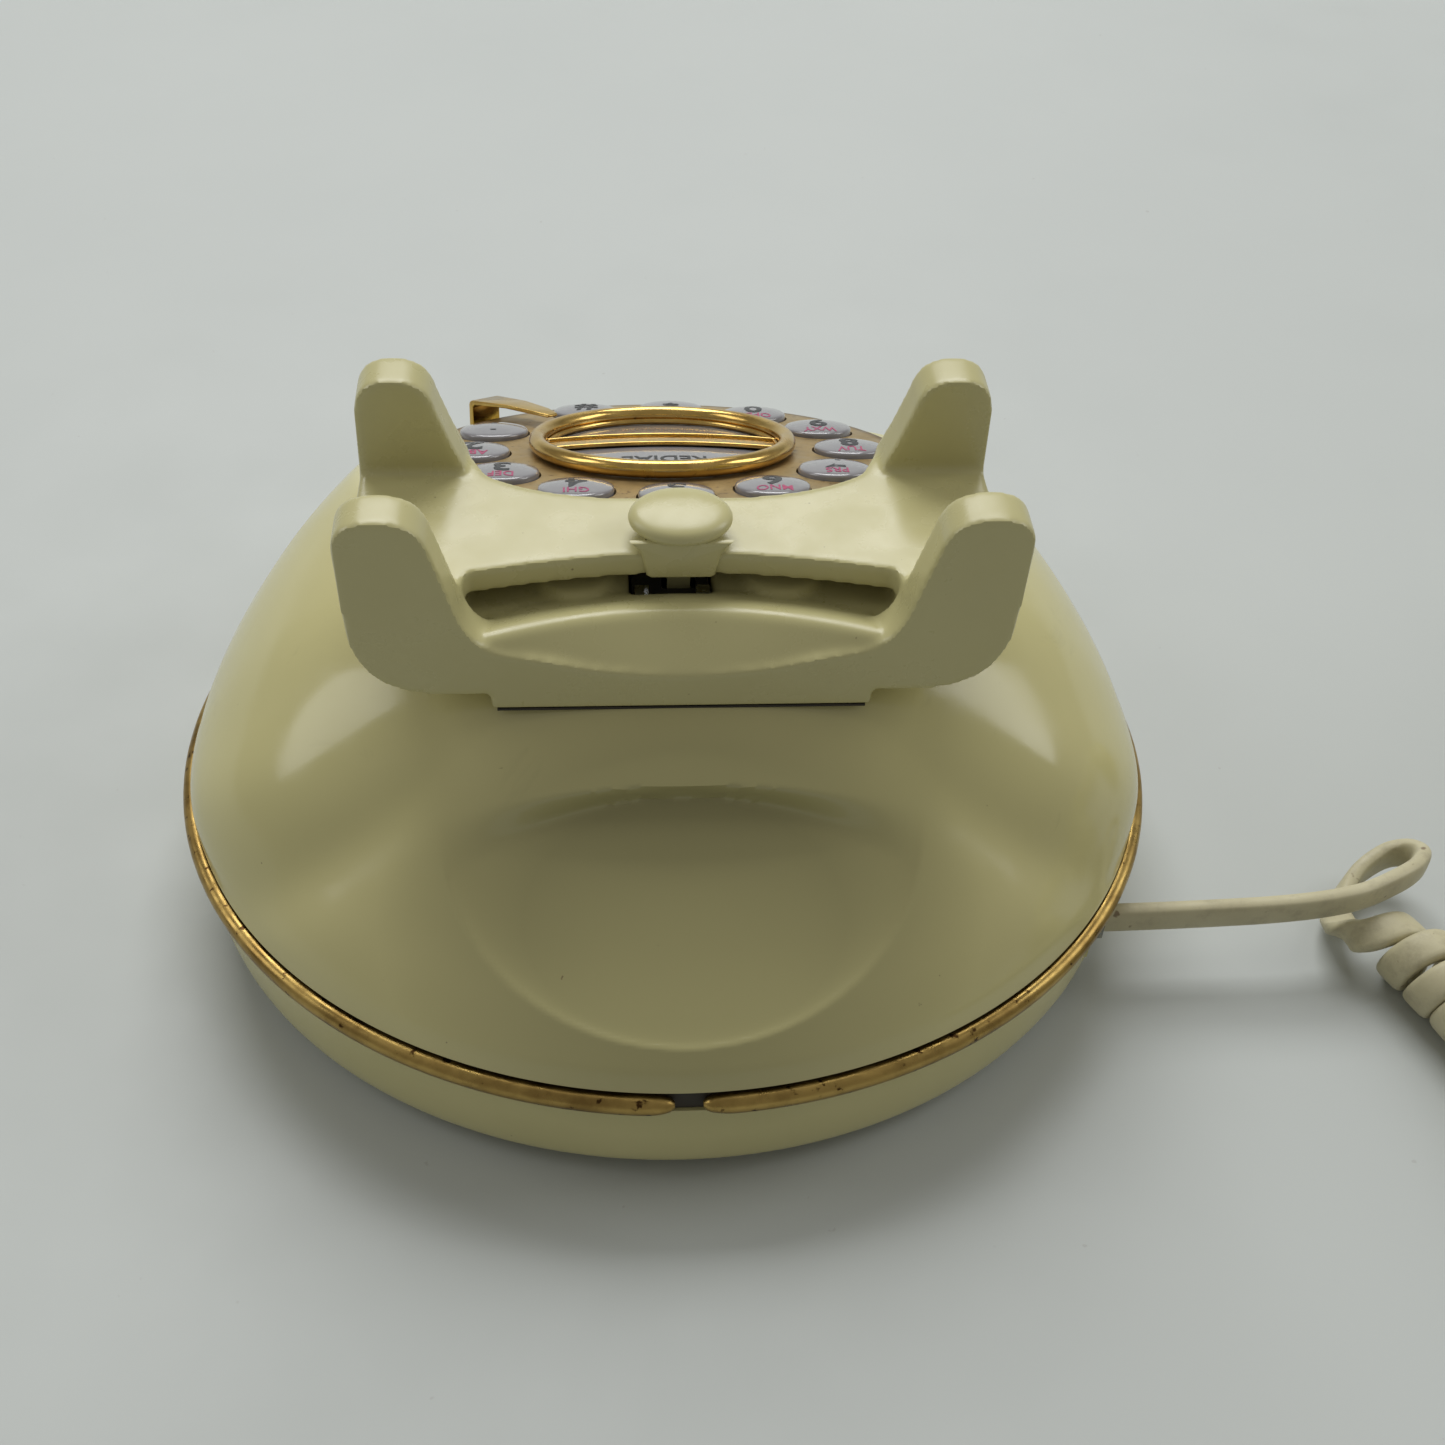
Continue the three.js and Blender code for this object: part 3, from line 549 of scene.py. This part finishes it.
def cord_route():
    """The cord's middle line, the directions of its width and thickness, and its widths: a straight
    lead, one wide loop that curls off it, turns of even pitch round the coil's axis (a circle carried
    along that line), and a short rise into the handset."""
    lead = np.array([
        [-81.7, 38, 14], [-92, 38, 14.2], [-104, 37.8, 14.4], [-114, 37.6, 14.7], [-122.4, 37.1, 15],
        [-129, 36.3, 15.3], [-134.6, 34.9, 15.4], [-141, 32, 15.3], [-147, 28, 14.2], [-150.6, 23.4, 12.4],
        [-150.2, 19.6, 10], [-147, 18.2, 8], [-142.8, 19.6, 6.4], [-138.8, 22.4, 5.2], [-135.4, 26.6, 4.4],
        [-132.7, 31.8, 4.6], [-131.6, 37.4, 6.4], [-133.4, 41.6, 9.2],
    ])
    axis = np.array([
        [-141.3, 38.6], [-144, 44], [-147, 50.7], [-150.3, 57.8], [-154.8, 72], [-158.2, 94],
        [-159.8, 120], [-161, 145], [-169, 166], [-185, 175], [-199, 166], [-205, 148], [-209, 131],
    ])
    fine = smooth_line(axis, 1200)
    run = np.concatenate([[0], np.cumsum(np.linalg.norm(np.diff(fine, axis=0), axis=1))])
    turns = run[-1] / COIL_PITCH
    at = np.linspace(0, run[-1], int(turns * 26))
    middle = np.stack([np.interp(at, run, fine[:, k]) for k in (0, 1)], 1)
    ahead = unit(np.gradient(middle, axis=0))
    side = np.stack([ahead[:, 1], -ahead[:, 0]], 1)
    phase = np.radians(35) + 2 * np.pi * at / COIL_PITCH
    reach = COIL_R - 0.15 - CORD_T / 2
    coil = np.column_stack([
        middle + reach * np.cos(phase)[:, None] * side, COIL_R + reach * np.sin(phase),
    ])
    last = np.array([HANDSET_AT[0], HANDSET_AT[1]])
    along = np.array([-np.sin(HANDSET_TURN), np.cos(HANDSET_TURN)])
    tail = np.array([
        coil[-1], [*(last + 121 * along), 8.5], [*(last + 117 * along), 13.5],
        [*(last + 111.5 * along), 18.4], [*(last + 104.6 * along), 20],
    ])
    first = smooth_line(np.vstack([lead, coil[:1]]), 96)[:-1]
    end = smooth_line(tail, 26)[1:]
    path = np.vstack([first, coil, end]) + [0, 0, FLOOR_Z]
    for joint in (len(first), len(first) + len(coil)):
        near = path[joint - JOINT_REACH:joint + JOINT_REACH]
        for _ in range(JOINT_PASSES):
            near[1:-1] = (near[:-2] + 2 * near[1:-1] + near[2:]) / 4
    twist = step((np.linspace(0, 1, len(first)) - 0.66) / 0.34)[:, None]
    coil_ahead = np.column_stack([ahead, 0 * at])
    wide = np.vstack([
        UP * (1 - twist) + coil_ahead[0] * twist, coil_ahead,
        np.broadcast_to(coil_ahead[-1], (len(end), 3)),
    ])
    tangent = unit(np.gradient(path, axis=0))
    wide = unit(wide - (wide * tangent).sum(1, keepdims=True) * tangent)
    width = np.full(len(path), CORD_W)
    width[:len(first)] = LEAD_W + (CORD_W - LEAD_W) * twist[:, 0]
    width[-TAIL_POINTS:] = np.linspace(CORD_W, TAIL_W, TAIL_POINTS)
    return path, wide, np.cross(tangent, wide), width


route, broad, thin, widths = cord_route()
curly = piece(
    "curly_cord", tube(route, broad, thin, widths, CORD_T, 16, 3.8), None, CORD,
    ["cord_lead", "cord_coil", "cord_tail"], sharp=60,
)
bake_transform(curly)


# ---- shells --------------------------------------------------------------------------
DOME = np.array([               # height, half width, rear reach, front reach, squareness
    [SHELL_LOW, 92.2, 83.8, 88.6, 2.0], [25, 91.2, 81.8, 90.2, 2.0], [31, 88.6, 76.6, 92.0, 2.02],
    [38, 84.4, 68.2, 93.0, 2.05], [45, 79.0, 59.2, 92.6, 2.1], [52, 72.0, 50.0, 90.0, 2.15],
    [58, 63.6, 42.2, 84.0, 2.25], [61.5, 55.6, 37.8, 77.0, 2.4], [SHELL_HIGH, 46.0, 35.6, 66.0, 2.6],
])
DOME_ROWS = 136
HALF_MOON = 46.8, np.radians(41.4)      # the lip's place along Y and the slope it is pressed into


def dome(s, theta):
    """Superellipses |x/a|^n + |y/b|^n = 1 stacked by height. A soft crease runs from the seam's end
    down to the ring with a fuller hip before it, the dial's seat crops the top with a round edge,
    and a half-moon is pressed into the rear under a straight lip."""
    height, a, rear, front, n = np.moveaxis(between(DOME, s), -1, 0)
    c, q = np.cos(theta), np.sin(theta)
    x = a * np.sign(c) * np.abs(c) ** (2 / n)
    y = np.where(q > 0, rear, front) * np.sign(q) * np.abs(q) ** (2 / n)
    share = np.clip((height - SHELL_LOW) / (SHELL_HIGH - SHELL_LOW), 0, 1)
    bearing = np.degrees(np.arctan2(y, np.abs(x)))
    crease = bearing - (27 + 22 * share)
    swell = np.sin(np.pi * share) ** 0.7 * (y > 0)
    hip = 0.03 * np.exp(-((crease + 15) / 10) ** 2)
    dip = 0.026 * np.exp(-((crease - 2) / 6) ** 2)
    grow = 1 + swell * (hip - dip)
    x, y = x * grow, y * grow
    z = crop(x, y, height)
    down = (y - HALF_MOON[0]) / np.cos(HALF_MOON[1])
    edge = np.clip(1 - (x / 41) ** 2 - (down / 44) ** 2, 0, 1)
    soft = 1.6 + 12 * (x / 41) ** 2
    press = 6.6 * edge ** 0.62 * step((down + 0.8) / soft)
    return np.stack([x, y - 0.66 * press, z - 0.75 * press], -1)


def crop(x, y, z):
    """The smaller of z and the dial seat's height, rounded where they meet; under the plate the seat
    drops into a well."""
    ahead = (y - DIAL_AT[1]) / np.cos(TILT)
    well = step((49.6 - np.hypot(x, ahead)) / 3.0)
    seat = DIAL_AT[2] - BODY_Z + (y - DIAL_AT[1]) * np.tan(TILT) + (SEAT - 6.6 * well) / np.cos(TILT)
    return 0.5 * (z + seat - np.sqrt((z - seat) ** 2 + 1.2))


def upper_shell():
    """The dome outside, a flat top in to the plunger's well, and the same skin one wall inside it,
    along the normals, as one loop."""
    t = np.linspace(-1, 1, 380, endpoint=False)
    theta = np.pi / 2 + np.pi * (0.55 * t + 0.45 * t ** 3)
    rows = np.linspace(0, len(DOME) - 1, DOME_ROWS)
    outside = dome(*np.meshgrid(rows, theta, indexing="ij"))
    c, q = np.cos(theta), np.sin(theta)
    well = np.stack([
        1.5 + 9 * np.sign(c) * np.abs(c) ** 0.4, 16 + 8.6 * np.sign(q) * np.abs(q) ** 0.4,
        0 * c + SHELL_HIGH,
    ], -1)
    share = np.linspace(0, 1, 12)[1:, None, None]
    top = outside[-1] * (1 - share) + well * share
    top[..., 2] = crop(top[..., 0], top[..., 1], 0 * top[..., 2] + SHELL_HIGH)
    skin = np.concatenate([outside, top])
    fall = np.gradient(skin, axis=0)
    turn = (np.roll(skin, -1, 1) - np.roll(skin, 1, 1)) / 2
    normal = np.cross(turn, fall)
    normal /= np.maximum(np.linalg.norm(normal, axis=-1, keepdims=True), 1e-9)
    picked = [*range(0, DOME_ROWS, 6), DOME_ROWS - 1, *range(DOME_ROWS + 2, len(skin), 3)]
    inside = (skin - SHELL_WALL * normal)[picked]
    inside[-1] = well - [0, 0, SHELL_WALL]
    inside[0] = outside[0] * [0.974, 0.974, 1]
    return lifted(grid(np.concatenate([skin, inside[::-1]]), loop=True))


piece("upper_housing_skin", upper_shell(), "root", IVORY, ["upper_housing"], 50)


def dial_collar():
    """A flared cup under the dial that sinks into the dome: a closed profile, round where it meets
    the plate, turned about the dial's axis."""
    profile = [
        [49.2, SEAT], [PLATE_R, SEAT], [51.2, -2.6], [50.6, -4.4], [48.6, -9], [46, -15], [44, -17],
        [44, -9.6], [48.4, -8.8],
    ]
    return on_dial(turned(eased(profile, 2, closed=True), 128, loop=True))


piece("dial_collar", dial_collar(), "root", IVORY)

low = eased([
    [0, 3], [87.4, 3], [88.2, 3], [90.6, 4.0], [91.6, 6.6], [92.0, 13], [92.1, 20.4], [92.1, 21.3],
    [92.0, 21.4], [91.0, 21.4], [87.3, 21.4], [87.2, 21.5], [87.2, 28.2], [85.2, 28.2], [85.2, 12],
    [81.6, 6], [0, 5.8],
], 2)
low_shell = mesh_of("lower", lifted(egg(low, 200, loop=False), FLOOR_Z))
screw_holes = [
    turned([[0, -2], [3.6, -2], [3.6, 3.6], [0, 3.6]], 24, at)
    for at in ((56, 34), (-52, 34), (56, -42), (-56, -42))
]
low_cuts = [
    block(-100, -60, 30.7, 45.3, 7, 15.6), block(-100, -70, -19.3, -4.7, 5.4, 13.4), *screw_holes,
    *[block(x - 5, x + 5, -43, -37, -2, 3.6) for x in (22, -22)],
]
low_shell = carved(low_shell, together(*low_cuts))
piece("lower_housing_skin", low_shell, "root", IVORY, ["lower_housing"])


def trim_bead():
    """A round bead carried along the egg outline, open at the rear, with its two ends rounded off."""
    gap = TRIM_GAP / RING_A
    t = np.linspace(np.pi / 2 + gap, np.pi / 2 - gap + 2 * np.pi, 900)
    reach = np.where(np.sin(t) > 0, RING_REAR, RING_FRONT)
    path = np.stack([RING_A * np.cos(t), reach * np.sin(t), 0 * t + 18 + BODY_Z], 1)
    count = np.arange(len(t))
    ends = np.clip(np.minimum(count, count[::-1]) / 9, 0, 1)
    size = 3.8 * (0.3 + 0.7 * np.sqrt(1 - (1 - ends) ** 2))
    out = unit(np.stack([path[:, 0] / RING_A ** 2, path[:, 1] / reach ** 2, 0 * t], 1))
    return tube(path, out, np.broadcast_to(UP, out.shape), size, size * 0.98, 14, 2.2)


piece("trim_bead", trim_bead(), "root", TRIM_GOLD, ["trim_ring"])
gap_band = egg([[90.6, 21.5], [91.4, 21.5], [91.4, 26.4], [90.6, 26.4]], 160)
piece("seam_band", lifted(gap_band, FLOOR_Z), "root", DARK_GAP)


# ---- cradle --------------------------------------------------------------------------
def both(half):
    """The half outline and its mirror image, as one closed outline."""
    half = np.asarray(half, float)
    return np.concatenate([half, half[::-1] * [-1, 1]])


def saddle_bar():
    """Cross-sections carried along X: an upright rear face, a slope up to a crest that bows forward in
    the middle, and a fall into the trough."""
    x = np.linspace(-32, 32, 41)
    q = (x / 32) ** 2
    rear, crest = 70.4 + 4.8 * q, 27.8 + 6.2 * q
    flat = np.ones_like(x)
    section = [
        (36 * flat, SEAM_Z * flat), (36 * flat, rear),
        (crest + 0.7, 77.4 * flat), (crest - 0.6, 77.9 * flat),
        (crest - 2.4, 77.6 * flat), (crest - 5.4, 76.4 * flat), (crest - 8.6, 75.2 * flat),
        (22 * flat, 75 * flat), (22 * flat, SEAM_Z * flat),
    ]
    P = np.stack([np.stack([x, y, z], -1) for y, z in section], 1)
    points, faces = grid(P)
    n = len(section)
    return points, faces + [list(range(n)), [len(x) * n - 1 - i for i in range(n)]]


def cradle_parts():
    """The rear slab with its two prongs, the bar, the deck, the far prongs, the wall and the trough's
    floor and bosses. An outline's round stretches are quadratic curves."""
    top = PRONG_TOP
    slab = np.concatenate([
        [[0, SEAM_Z], [31, SEAM_Z], [31, 66.8]], bend((40, 66.8), (53, 67.2), (54.4, 80)),
        bend((55, top - 6), (55, top), (48.4, top)), bend((47.8, top), (41.4, top), (40, top - 6)),
        bend((36.2, 83), (34, 75.8), (27, 75)), bend((22, 74), (12, 71), (0, 70.4)),
    ])
    deck = both(np.concatenate([
        [[0, 5]], bend((12, 4.6), (26, 3.2), (33, -2)),
        [[37, -10], [54.6, -10], [55, 6], [53, 29], [36.4, 29]], bend((35.6, 25), (18, 20.8), (0, 20)),
    ]))
    far = np.concatenate([
        [[35.6, DECK_LOW], [55, DECK_LOW]], bend((54.6, top - 6), (54, top), (48.8, top)),
        bend((47.6, top), (42, top), (41, top - 6)), [[38.8, 90], [36.4, 84]],
    ])
    wall = [[0, SEAM_Z], [31, SEAM_Z], [34, 70], [50, 81], [0, 81]]
    boss = [[0, 72], [6.6, 72], [6.6, 76], [5.8, 76.6], [0, 76.8]]
    parts = [
        prism(both(slab), 28, 36, "y"), saddle_bar(), prism(deck, DECK_LOW, DECK_HIGH),
        prism(far, -10.2, -2.2, "y"), prism(far * [-1, 1], -10.2, -2.2, "y"),
        prism(both(wall), 1.8, 10, "y"),
        block(-32, -5.6, 2.4, 30, SEAM_Z, 75), block(8.6, 32, 2.4, 30, SEAM_Z, 75),
        block(-6, 9, 22.4, 30, SEAM_Z, 75), block(-6, 9, 2.4, 10.2, SEAM_Z, 75),
        block(31, 43, 2.4, 29, 70, 75), block(-43, -31, 2.4, 29, 70, 75),
        block(36, 44, 2, 31, 70, 83), block(-44, -36, 2, 31, 70, 83),
        *[turned(boss, 40, (x, 15.5)) for x in (17.6, -17.6)],
    ]
    return [lifted(p) for p in parts]


cradle_skin = fused("cradle", cradle_parts(), 0.62, 7)
notch = block(-5.9, 5.9, 10.8, 24, 77 + BODY_Z, 90 + BODY_Z)
cradle_skin = carved(cradle_skin, notch)
piece("cradle_skin", cradle_skin, "root", IVORY_CRADLE, ["cradle"])
seam = lifted(block(-31, 31, 24, 35.7, 62.98, 63.45))
piece("cradle_seam", seam, "root", DARK_GAP)


def contact_clips():
    """Two strips that lie beside the slot and bend down into it: their side outline pulled along X."""
    bent = [
        [23.0, 75.05], [23.0, 75.4], [20.6, 75.9], [18.4, 75.6], [17.4, 73.4], [17.8, 73.3], [18.8, 75.2],
        [20.6, 75.45],
    ]
    parts = []
    for x in (5.3, -5.1):
        points, faces = prism(bent, x, x + 2.4, "y")
        parts.append((points[:, [1, 0, 2]], faces))
    return lifted(together(*parts))


piece(
    "contact_clip_pair", contact_clips(), "root", STEEL,
    ["contact_clip_left", "contact_clip_right"],
)


def plunger_part():
    """An oval mushroom cap over an upright neck with rounded corners, an apron that flares toward the
    cap on the neck's rear face, and the thin stem below."""
    cap = turned(eased([
        [0, 86.4], [7.6, 86.4], [8.3, 86.5], [8.8, 87.2], [8.7, 88.1], [7.6, 89.0], [4.5, 89.5], [0, 89.6],
    ], 2), 96, (0, 15), 0.82)
    t = np.linspace(0, 2 * np.pi, 48, endpoint=False)
    c, q = np.cos(t), np.sin(t)
    oval = np.stack([
        5.65 * np.sign(c) * np.abs(c) ** 0.2, 15.8 + 4.6 * np.sign(q) * np.abs(q) ** 0.3,
    ], 1)
    neck = stacked(oval, [[0, 79.6], [0.97, 79.6], [1, 79.9], [1, 86.9], [0, 86.9]])
    apron = both([[5.2, -3.8], [5.8, -3.4], [6.3, -1], [6.7, 1], [7.6, 2.6], [8.6, 3.6]])
    levels = [[0, 20.25], [1, 20.25], [1, 20.7], [0.96, 21.05], [0.88, 21.2], [0, 21.25]]
    points, faces = stacked(apron, levels)
    shield = (np.stack([points[:, 0], points[:, 2], points[:, 1] + 83.1], 1), faces)
    stem = block(-2, 2, 12, 15, 49.4, 81)
    return lifted(together(cap, neck, shield, stem))


piece("hook_plunger_skin", plunger_part(), "plunger", IVORY_CRADLE, ["hook_plunger"])


# ---- dial ----------------------------------------------------------------------------
def key_spot(index):
    """The middle of a key: even steps round the dial, with a wider gap at the finger stop."""
    angle = np.radians(KEY_START + KEY_STEP * ((index + 1) % 12))
    return KEY_PCD_R * np.cos(angle), KEY_PCD_R * np.sin(angle)


plate_profile = [
    [22.9, -1.4], [PLATE_R, -1.4], [PLATE_R, -0.6], [50.6, -0.1], [49.8, 0.2], [42, 0.8], [30, 1.0],
    [22.9, 1.0],
]
plate = mesh_of("plate", on_dial(turned(plate_profile, 240, loop=True)), 30)
key_holes = [turned([[0, -4], [7.6, -4], [7.6, 4], [0, 4]], 64, key_spot(i)) for i in range(12)]
plate = carved(plate, on_dial(together(*key_holes)))
piece("dial_plate_skin", plate, "root", DIAL_GOLD, ["dial_plate"], 30)

LETTERS = {
    "2": "ABC", "3": "DEF", "4": "GHI", "5": "JKL", "6": "MNO", "7": "PRS", "8": "TUV", "9": "WXY",
    "0": "OPER", "star": "", "hash": "", "1": "",
}
SIGNS = {"star": "*", "hash": "#"}


def key_top(r):
    """The domed top of a key: its height falls with the square of the distance from the middle."""
    return 2.9 - 1.0 * (r / KEY_R) ** 2


def button_top(r):
    """The two half buttons share one low dome of the same kind."""
    return 2.65 - 1.3 * (r / BUTTON_R) ** 2


def lettering(text, size, x, y, z, heavy):
    """Flat type as a thin closed mesh in the dial's frame, upright from the front and made heavier."""
    data = bpy.data.curves.new("type", "FONT")
    data.body = text
    data.size = size
    data.align_x, data.align_y = "CENTER", "CENTER"
    data.extrude = 0.04
    data.offset = heavy
    data.resolution_u = 3
    data.fill_mode = "BOTH"
    holder = bpy.data.objects.new("type", data)
    bpy.context.scene.collection.objects.link(holder)
    mesh = bpy.data.meshes.new_from_object(holder.evaluated_get(bpy.context.evaluated_depsgraph_get()))
    points = np.zeros(len(mesh.vertices) * 3)
    mesh.vertices.foreach_get("co", points)
    faces = [list(p.vertices) for p in mesh.polygons]
    bpy.data.objects.remove(holder)
    return points.reshape(-1, 3) + [x, y, z], faces


def bowed(part, top, at=(0, 0)):
    """Type laid over a domed top: each point rises by the dome's height at its distance from the middle."""
    points, faces = part
    points[:, 2] += top(np.hypot(points[:, 0] - at[0], points[:, 1] - at[1]))
    return points, faces


crown = np.linspace(6.7, 0, 9)
key_profile = np.concatenate([
    [[0, -1.4], [7.1, -1.4], [KEY_R, -1.3], [KEY_R, 1.4], [7.1, 1.75], [6.95, 1.9]],
    np.stack([crown, key_top(crown)], 1),
])
for index, label in enumerate(LETTERS):
    at = key_spot(index)
    carrier = f"key_{label}_body"
    cap = on_dial(turned(key_profile, 64, at))
    piece(f"key_{label}_cap", cap, carrier, KEY_CAP, [f"key_{label}"])
    lower = at[1] - (0.2 if LETTERS[label] else -0.4)
    digit = bowed(lettering(SIGNS.get(label, label), 8.2, at[0], lower, 0.04, 0.17), key_top, at)
    piece(f"key_{label}_digit", on_dial(digit), carrier, PRINT_BLACK)
    if LETTERS[label]:
        small = bowed(lettering(LETTERS[label], 3.0, at[0], at[1] + 4.4, 0.03, 0.03), key_top, at)
        piece(f"key_{label}_letters", on_dial(small), carrier, PRINT_RED)


def centre_ring():
    """A torus (R + r cos v) round the dial, with a small bead inside it, and two thin bars and a web
    across it that rise toward the middle by a parabola."""
    v = np.linspace(0, 2 * np.pi, 28, endpoint=False)
    ring = turned(np.stack([25.6 + 1.75 * np.cos(v), 3.05 + 1.75 * np.sin(v)], 1), 144, loop=True)
    lip = turned(np.stack([23.6 + 0.55 * np.cos(v[::3]), 1.9 + 0.6 * np.sin(v[::3])], 1), 144, loop=True)
    x = np.linspace(-24.6, 24.6, 25)
    bars = []
    for y, wide, z, tall in ((3.8, 0.9, 2.0, 0.9), (-3.8, 0.9, 2.0, 0.9), (0, 7.0, 1.6, 0.7)):
        path = np.stack([x, 0 * x + y, z + 1.25 * (1 - (x / 24.6) ** 2)], 1)
        across = np.broadcast_to([0.0, 1.0, 0.0], path.shape)
        bars.append(tube(path, across, np.broadcast_to(UP, path.shape), wide, tall, 20, 2.6))
    return on_dial(together(ring, lip, *bars))


piece("centre_ring_skin", centre_ring(), "root", RING_GOLD, ["centre_ring"])


def half_button(side):
    """Half a domed disc with a straight side beside the bar: its outline shrinks toward its middle
    while the height follows the dome, less a small drop at the rim."""
    t = np.linspace(0, np.pi, 60)
    arc = np.stack([BUTTON_R * np.cos(t), BUTTON_Y + np.sin(t) * (BUTTON_R - BUTTON_Y)], 1)
    line = np.stack([np.linspace(-22.0, 22.0, 30), np.full(30, BUTTON_Y)], 1)
    outline = np.concatenate([arc[1:-1], line]) * [1, side]
    middle = np.array([0, 11 * side])
    under = np.full((len(outline), 1), -1.2)
    rows = [np.hstack([middle + share * (outline - middle), under]) for share in (0, 1)]
    drops = {1: 0.5, 0.985: 0.14, 0.95: 0.02, 0.85: 0, 0.65: 0, 0.4: 0, 0.15: 0, 0: 0}
    for share, drop in drops.items():
        at = middle + share * (outline - middle)
        rows.append(np.column_stack([at, button_top(np.hypot(*at.T)) - drop]))
    return on_dial(grid(np.array(rows)))


piece("redial_button_cap", half_button(1), "redial", KEY_CAP, ["redial_button"])
piece("flash_button_cap", half_button(-1), "flash", KEY_CAP, ["flash_button"])
word = bowed(lettering("REDIAL", 5.3, 0, 12.8, 0.04, 0.06), button_top)
piece("redial_word", on_dial(word), "redial", PRINT_BLACK)


def finger_stop():
    """A bent arm: its side outline pulled 8 mm wide, narrowed linearly in stretches to the tip over the
    keys, and turned an eighth of a turn round the dial."""
    side = np.array([
        [53.6, -7], [54.9, -7], [54.9, 3.2], [54.6, 3.8], [54, 4.1], [44, 4.5], [36, 4.1], [32.3, 3.7],
        [32, 3.3], [32.4, 3.0], [36, 3.3], [44, 3.6], [53.2, 3.2], [53.6, 2.8],
    ])
    points, faces = prism(side, -4, 4, "y")
    points[:, 1] *= np.interp(points[:, 0], [32, 33, 35, 44, 52], [0.3, 0.5, 0.58, 0.78, 1.0])
    c = np.cos(np.pi / 4)
    x, y, z = points.T
    return on_dial((np.stack([c * (x + y), c * (y - x), z], 1), faces))


stop_mesh = modified(
    mesh_of("stop", finger_stop(), 30),
    ("BEVEL", {"width": 0.35 * MM, "segments": 3, "limit_method": "ANGLE"}),
)
stop_mesh.shade_smooth()
stop_mesh.set_sharp_from_angle(angle=np.radians(40))
piece("finger_stop_arm", stop_mesh, "root", RING_GOLD, ["finger_stop"])


# ---- handset -------------------------------------------------------------------------
def handset_parts():
    """Two turned bowls and a grip: superellipses carried along an arch between them, wider and taller
    toward the bowls with the cube of the distance from the middle."""
    bowl = eased([
        [0, 15.4], [28.4, 15.4], [29, 16], [29, 19], [27.6, 27], [22.6, 36.5], [13.5, 44], [0, 47],
    ], 2)
    line = smooth_line([
        [0, -72, 35], [0, -63, 43.5], [0, -50, 49.6], [0, -30, 54.6], [0, 0, 56.6],
        [0, 30, 54.6], [0, 50, 49.6], [0, 63, 43.5], [0, 72, 35],
    ], 90)
    across = np.broadcast_to([1.0, 0.0, 0.0], line.shape)
    upward = unit(np.cross(across, np.gradient(line, axis=0)))
    share = np.abs(line[:, 1]) / 72
    wide = 20.5 + 12 * share ** 3
    return [
        turned(bowl, 96, (0, -CAP_SPACING)), turned(bowl, 96, (0, CAP_SPACING)),
        tube(line, across, upward, wide, 19.5 + 6 * share ** 3, 40, 2.5),
    ]


handle_skin = fused("handle", [on_handset(p) for p in handset_parts()], 0.9, 10)
handle_skin = carved(handle_skin, on_handset(block(-4.6, 4.6, 88, 112, 16.6, 23.4)))
piece("handset_handle_skin", handle_skin, "handset", IVORY_HANDSET, ["handset_handle"])
cap_profile = eased([
    [0, 2.4], [14, 2.2], [20, 1.4], [25, 0.2], [25.6, 0], [27.4, 0.3], [28.8, 2.6], [29.1, 5], [29.2, 11.5],
    [29.1, 11.6], [27.4, 11.6], [27.0, 4.8], [0, 4.0],
], 2)
turn = np.linspace(0, 2 * np.pi, 18, endpoint=False)
bead_profile = np.stack([28.4 + 1.5 * np.cos(turn), 13.5 + 1.5 * np.sin(turn)], 1)
for name, y in (("earpiece", -CAP_SPACING), ("mouthpiece", CAP_SPACING)):
    cap = on_handset(turned(cap_profile, 112, (0, y)))
    piece(f"{name}_cap_skin", cap, "handset", IVORY_HANDSET, [f"{name}_cap"])
    bead = turned(bead_profile, 128, (0, y), loop=True)
    piece(f"{name}_bead", on_handset(bead), "handset", TRIM_GOLD, [f"{name}_ring"])


# ---- the solids that stay, in their own finishes ------------------------------------------
KEPT = {
    BLACK: ["hook_lever", "hook_switch", "contact_carrier", "ringer", "line_jack", "ringer_switch",
            "dial_mode_switch", "earpiece_speaker", "microphone"],
    STEEL: ["hook_spring", "hook_lever_pin", "contact_clip_left", "contact_clip_right", "ballast_weight",
            *[f"base_screw_{i}" for i in (1, 2, 3, 4)]],
    RUBBER: ["key_membrane", *[f"foot_{i}" for i in (1, 2, 3, 4)]],
    BOARD: ["keypad_board", "main_board"],
    CLEAR: ["base_plug", "handset_plug"],
    IVORY: ["cord_jack"],
}
for material, names in KEPT.items():
    for name in names:
        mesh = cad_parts[name].data
        for index in range(len(mesh.materials)):
            mesh.materials[index] = material
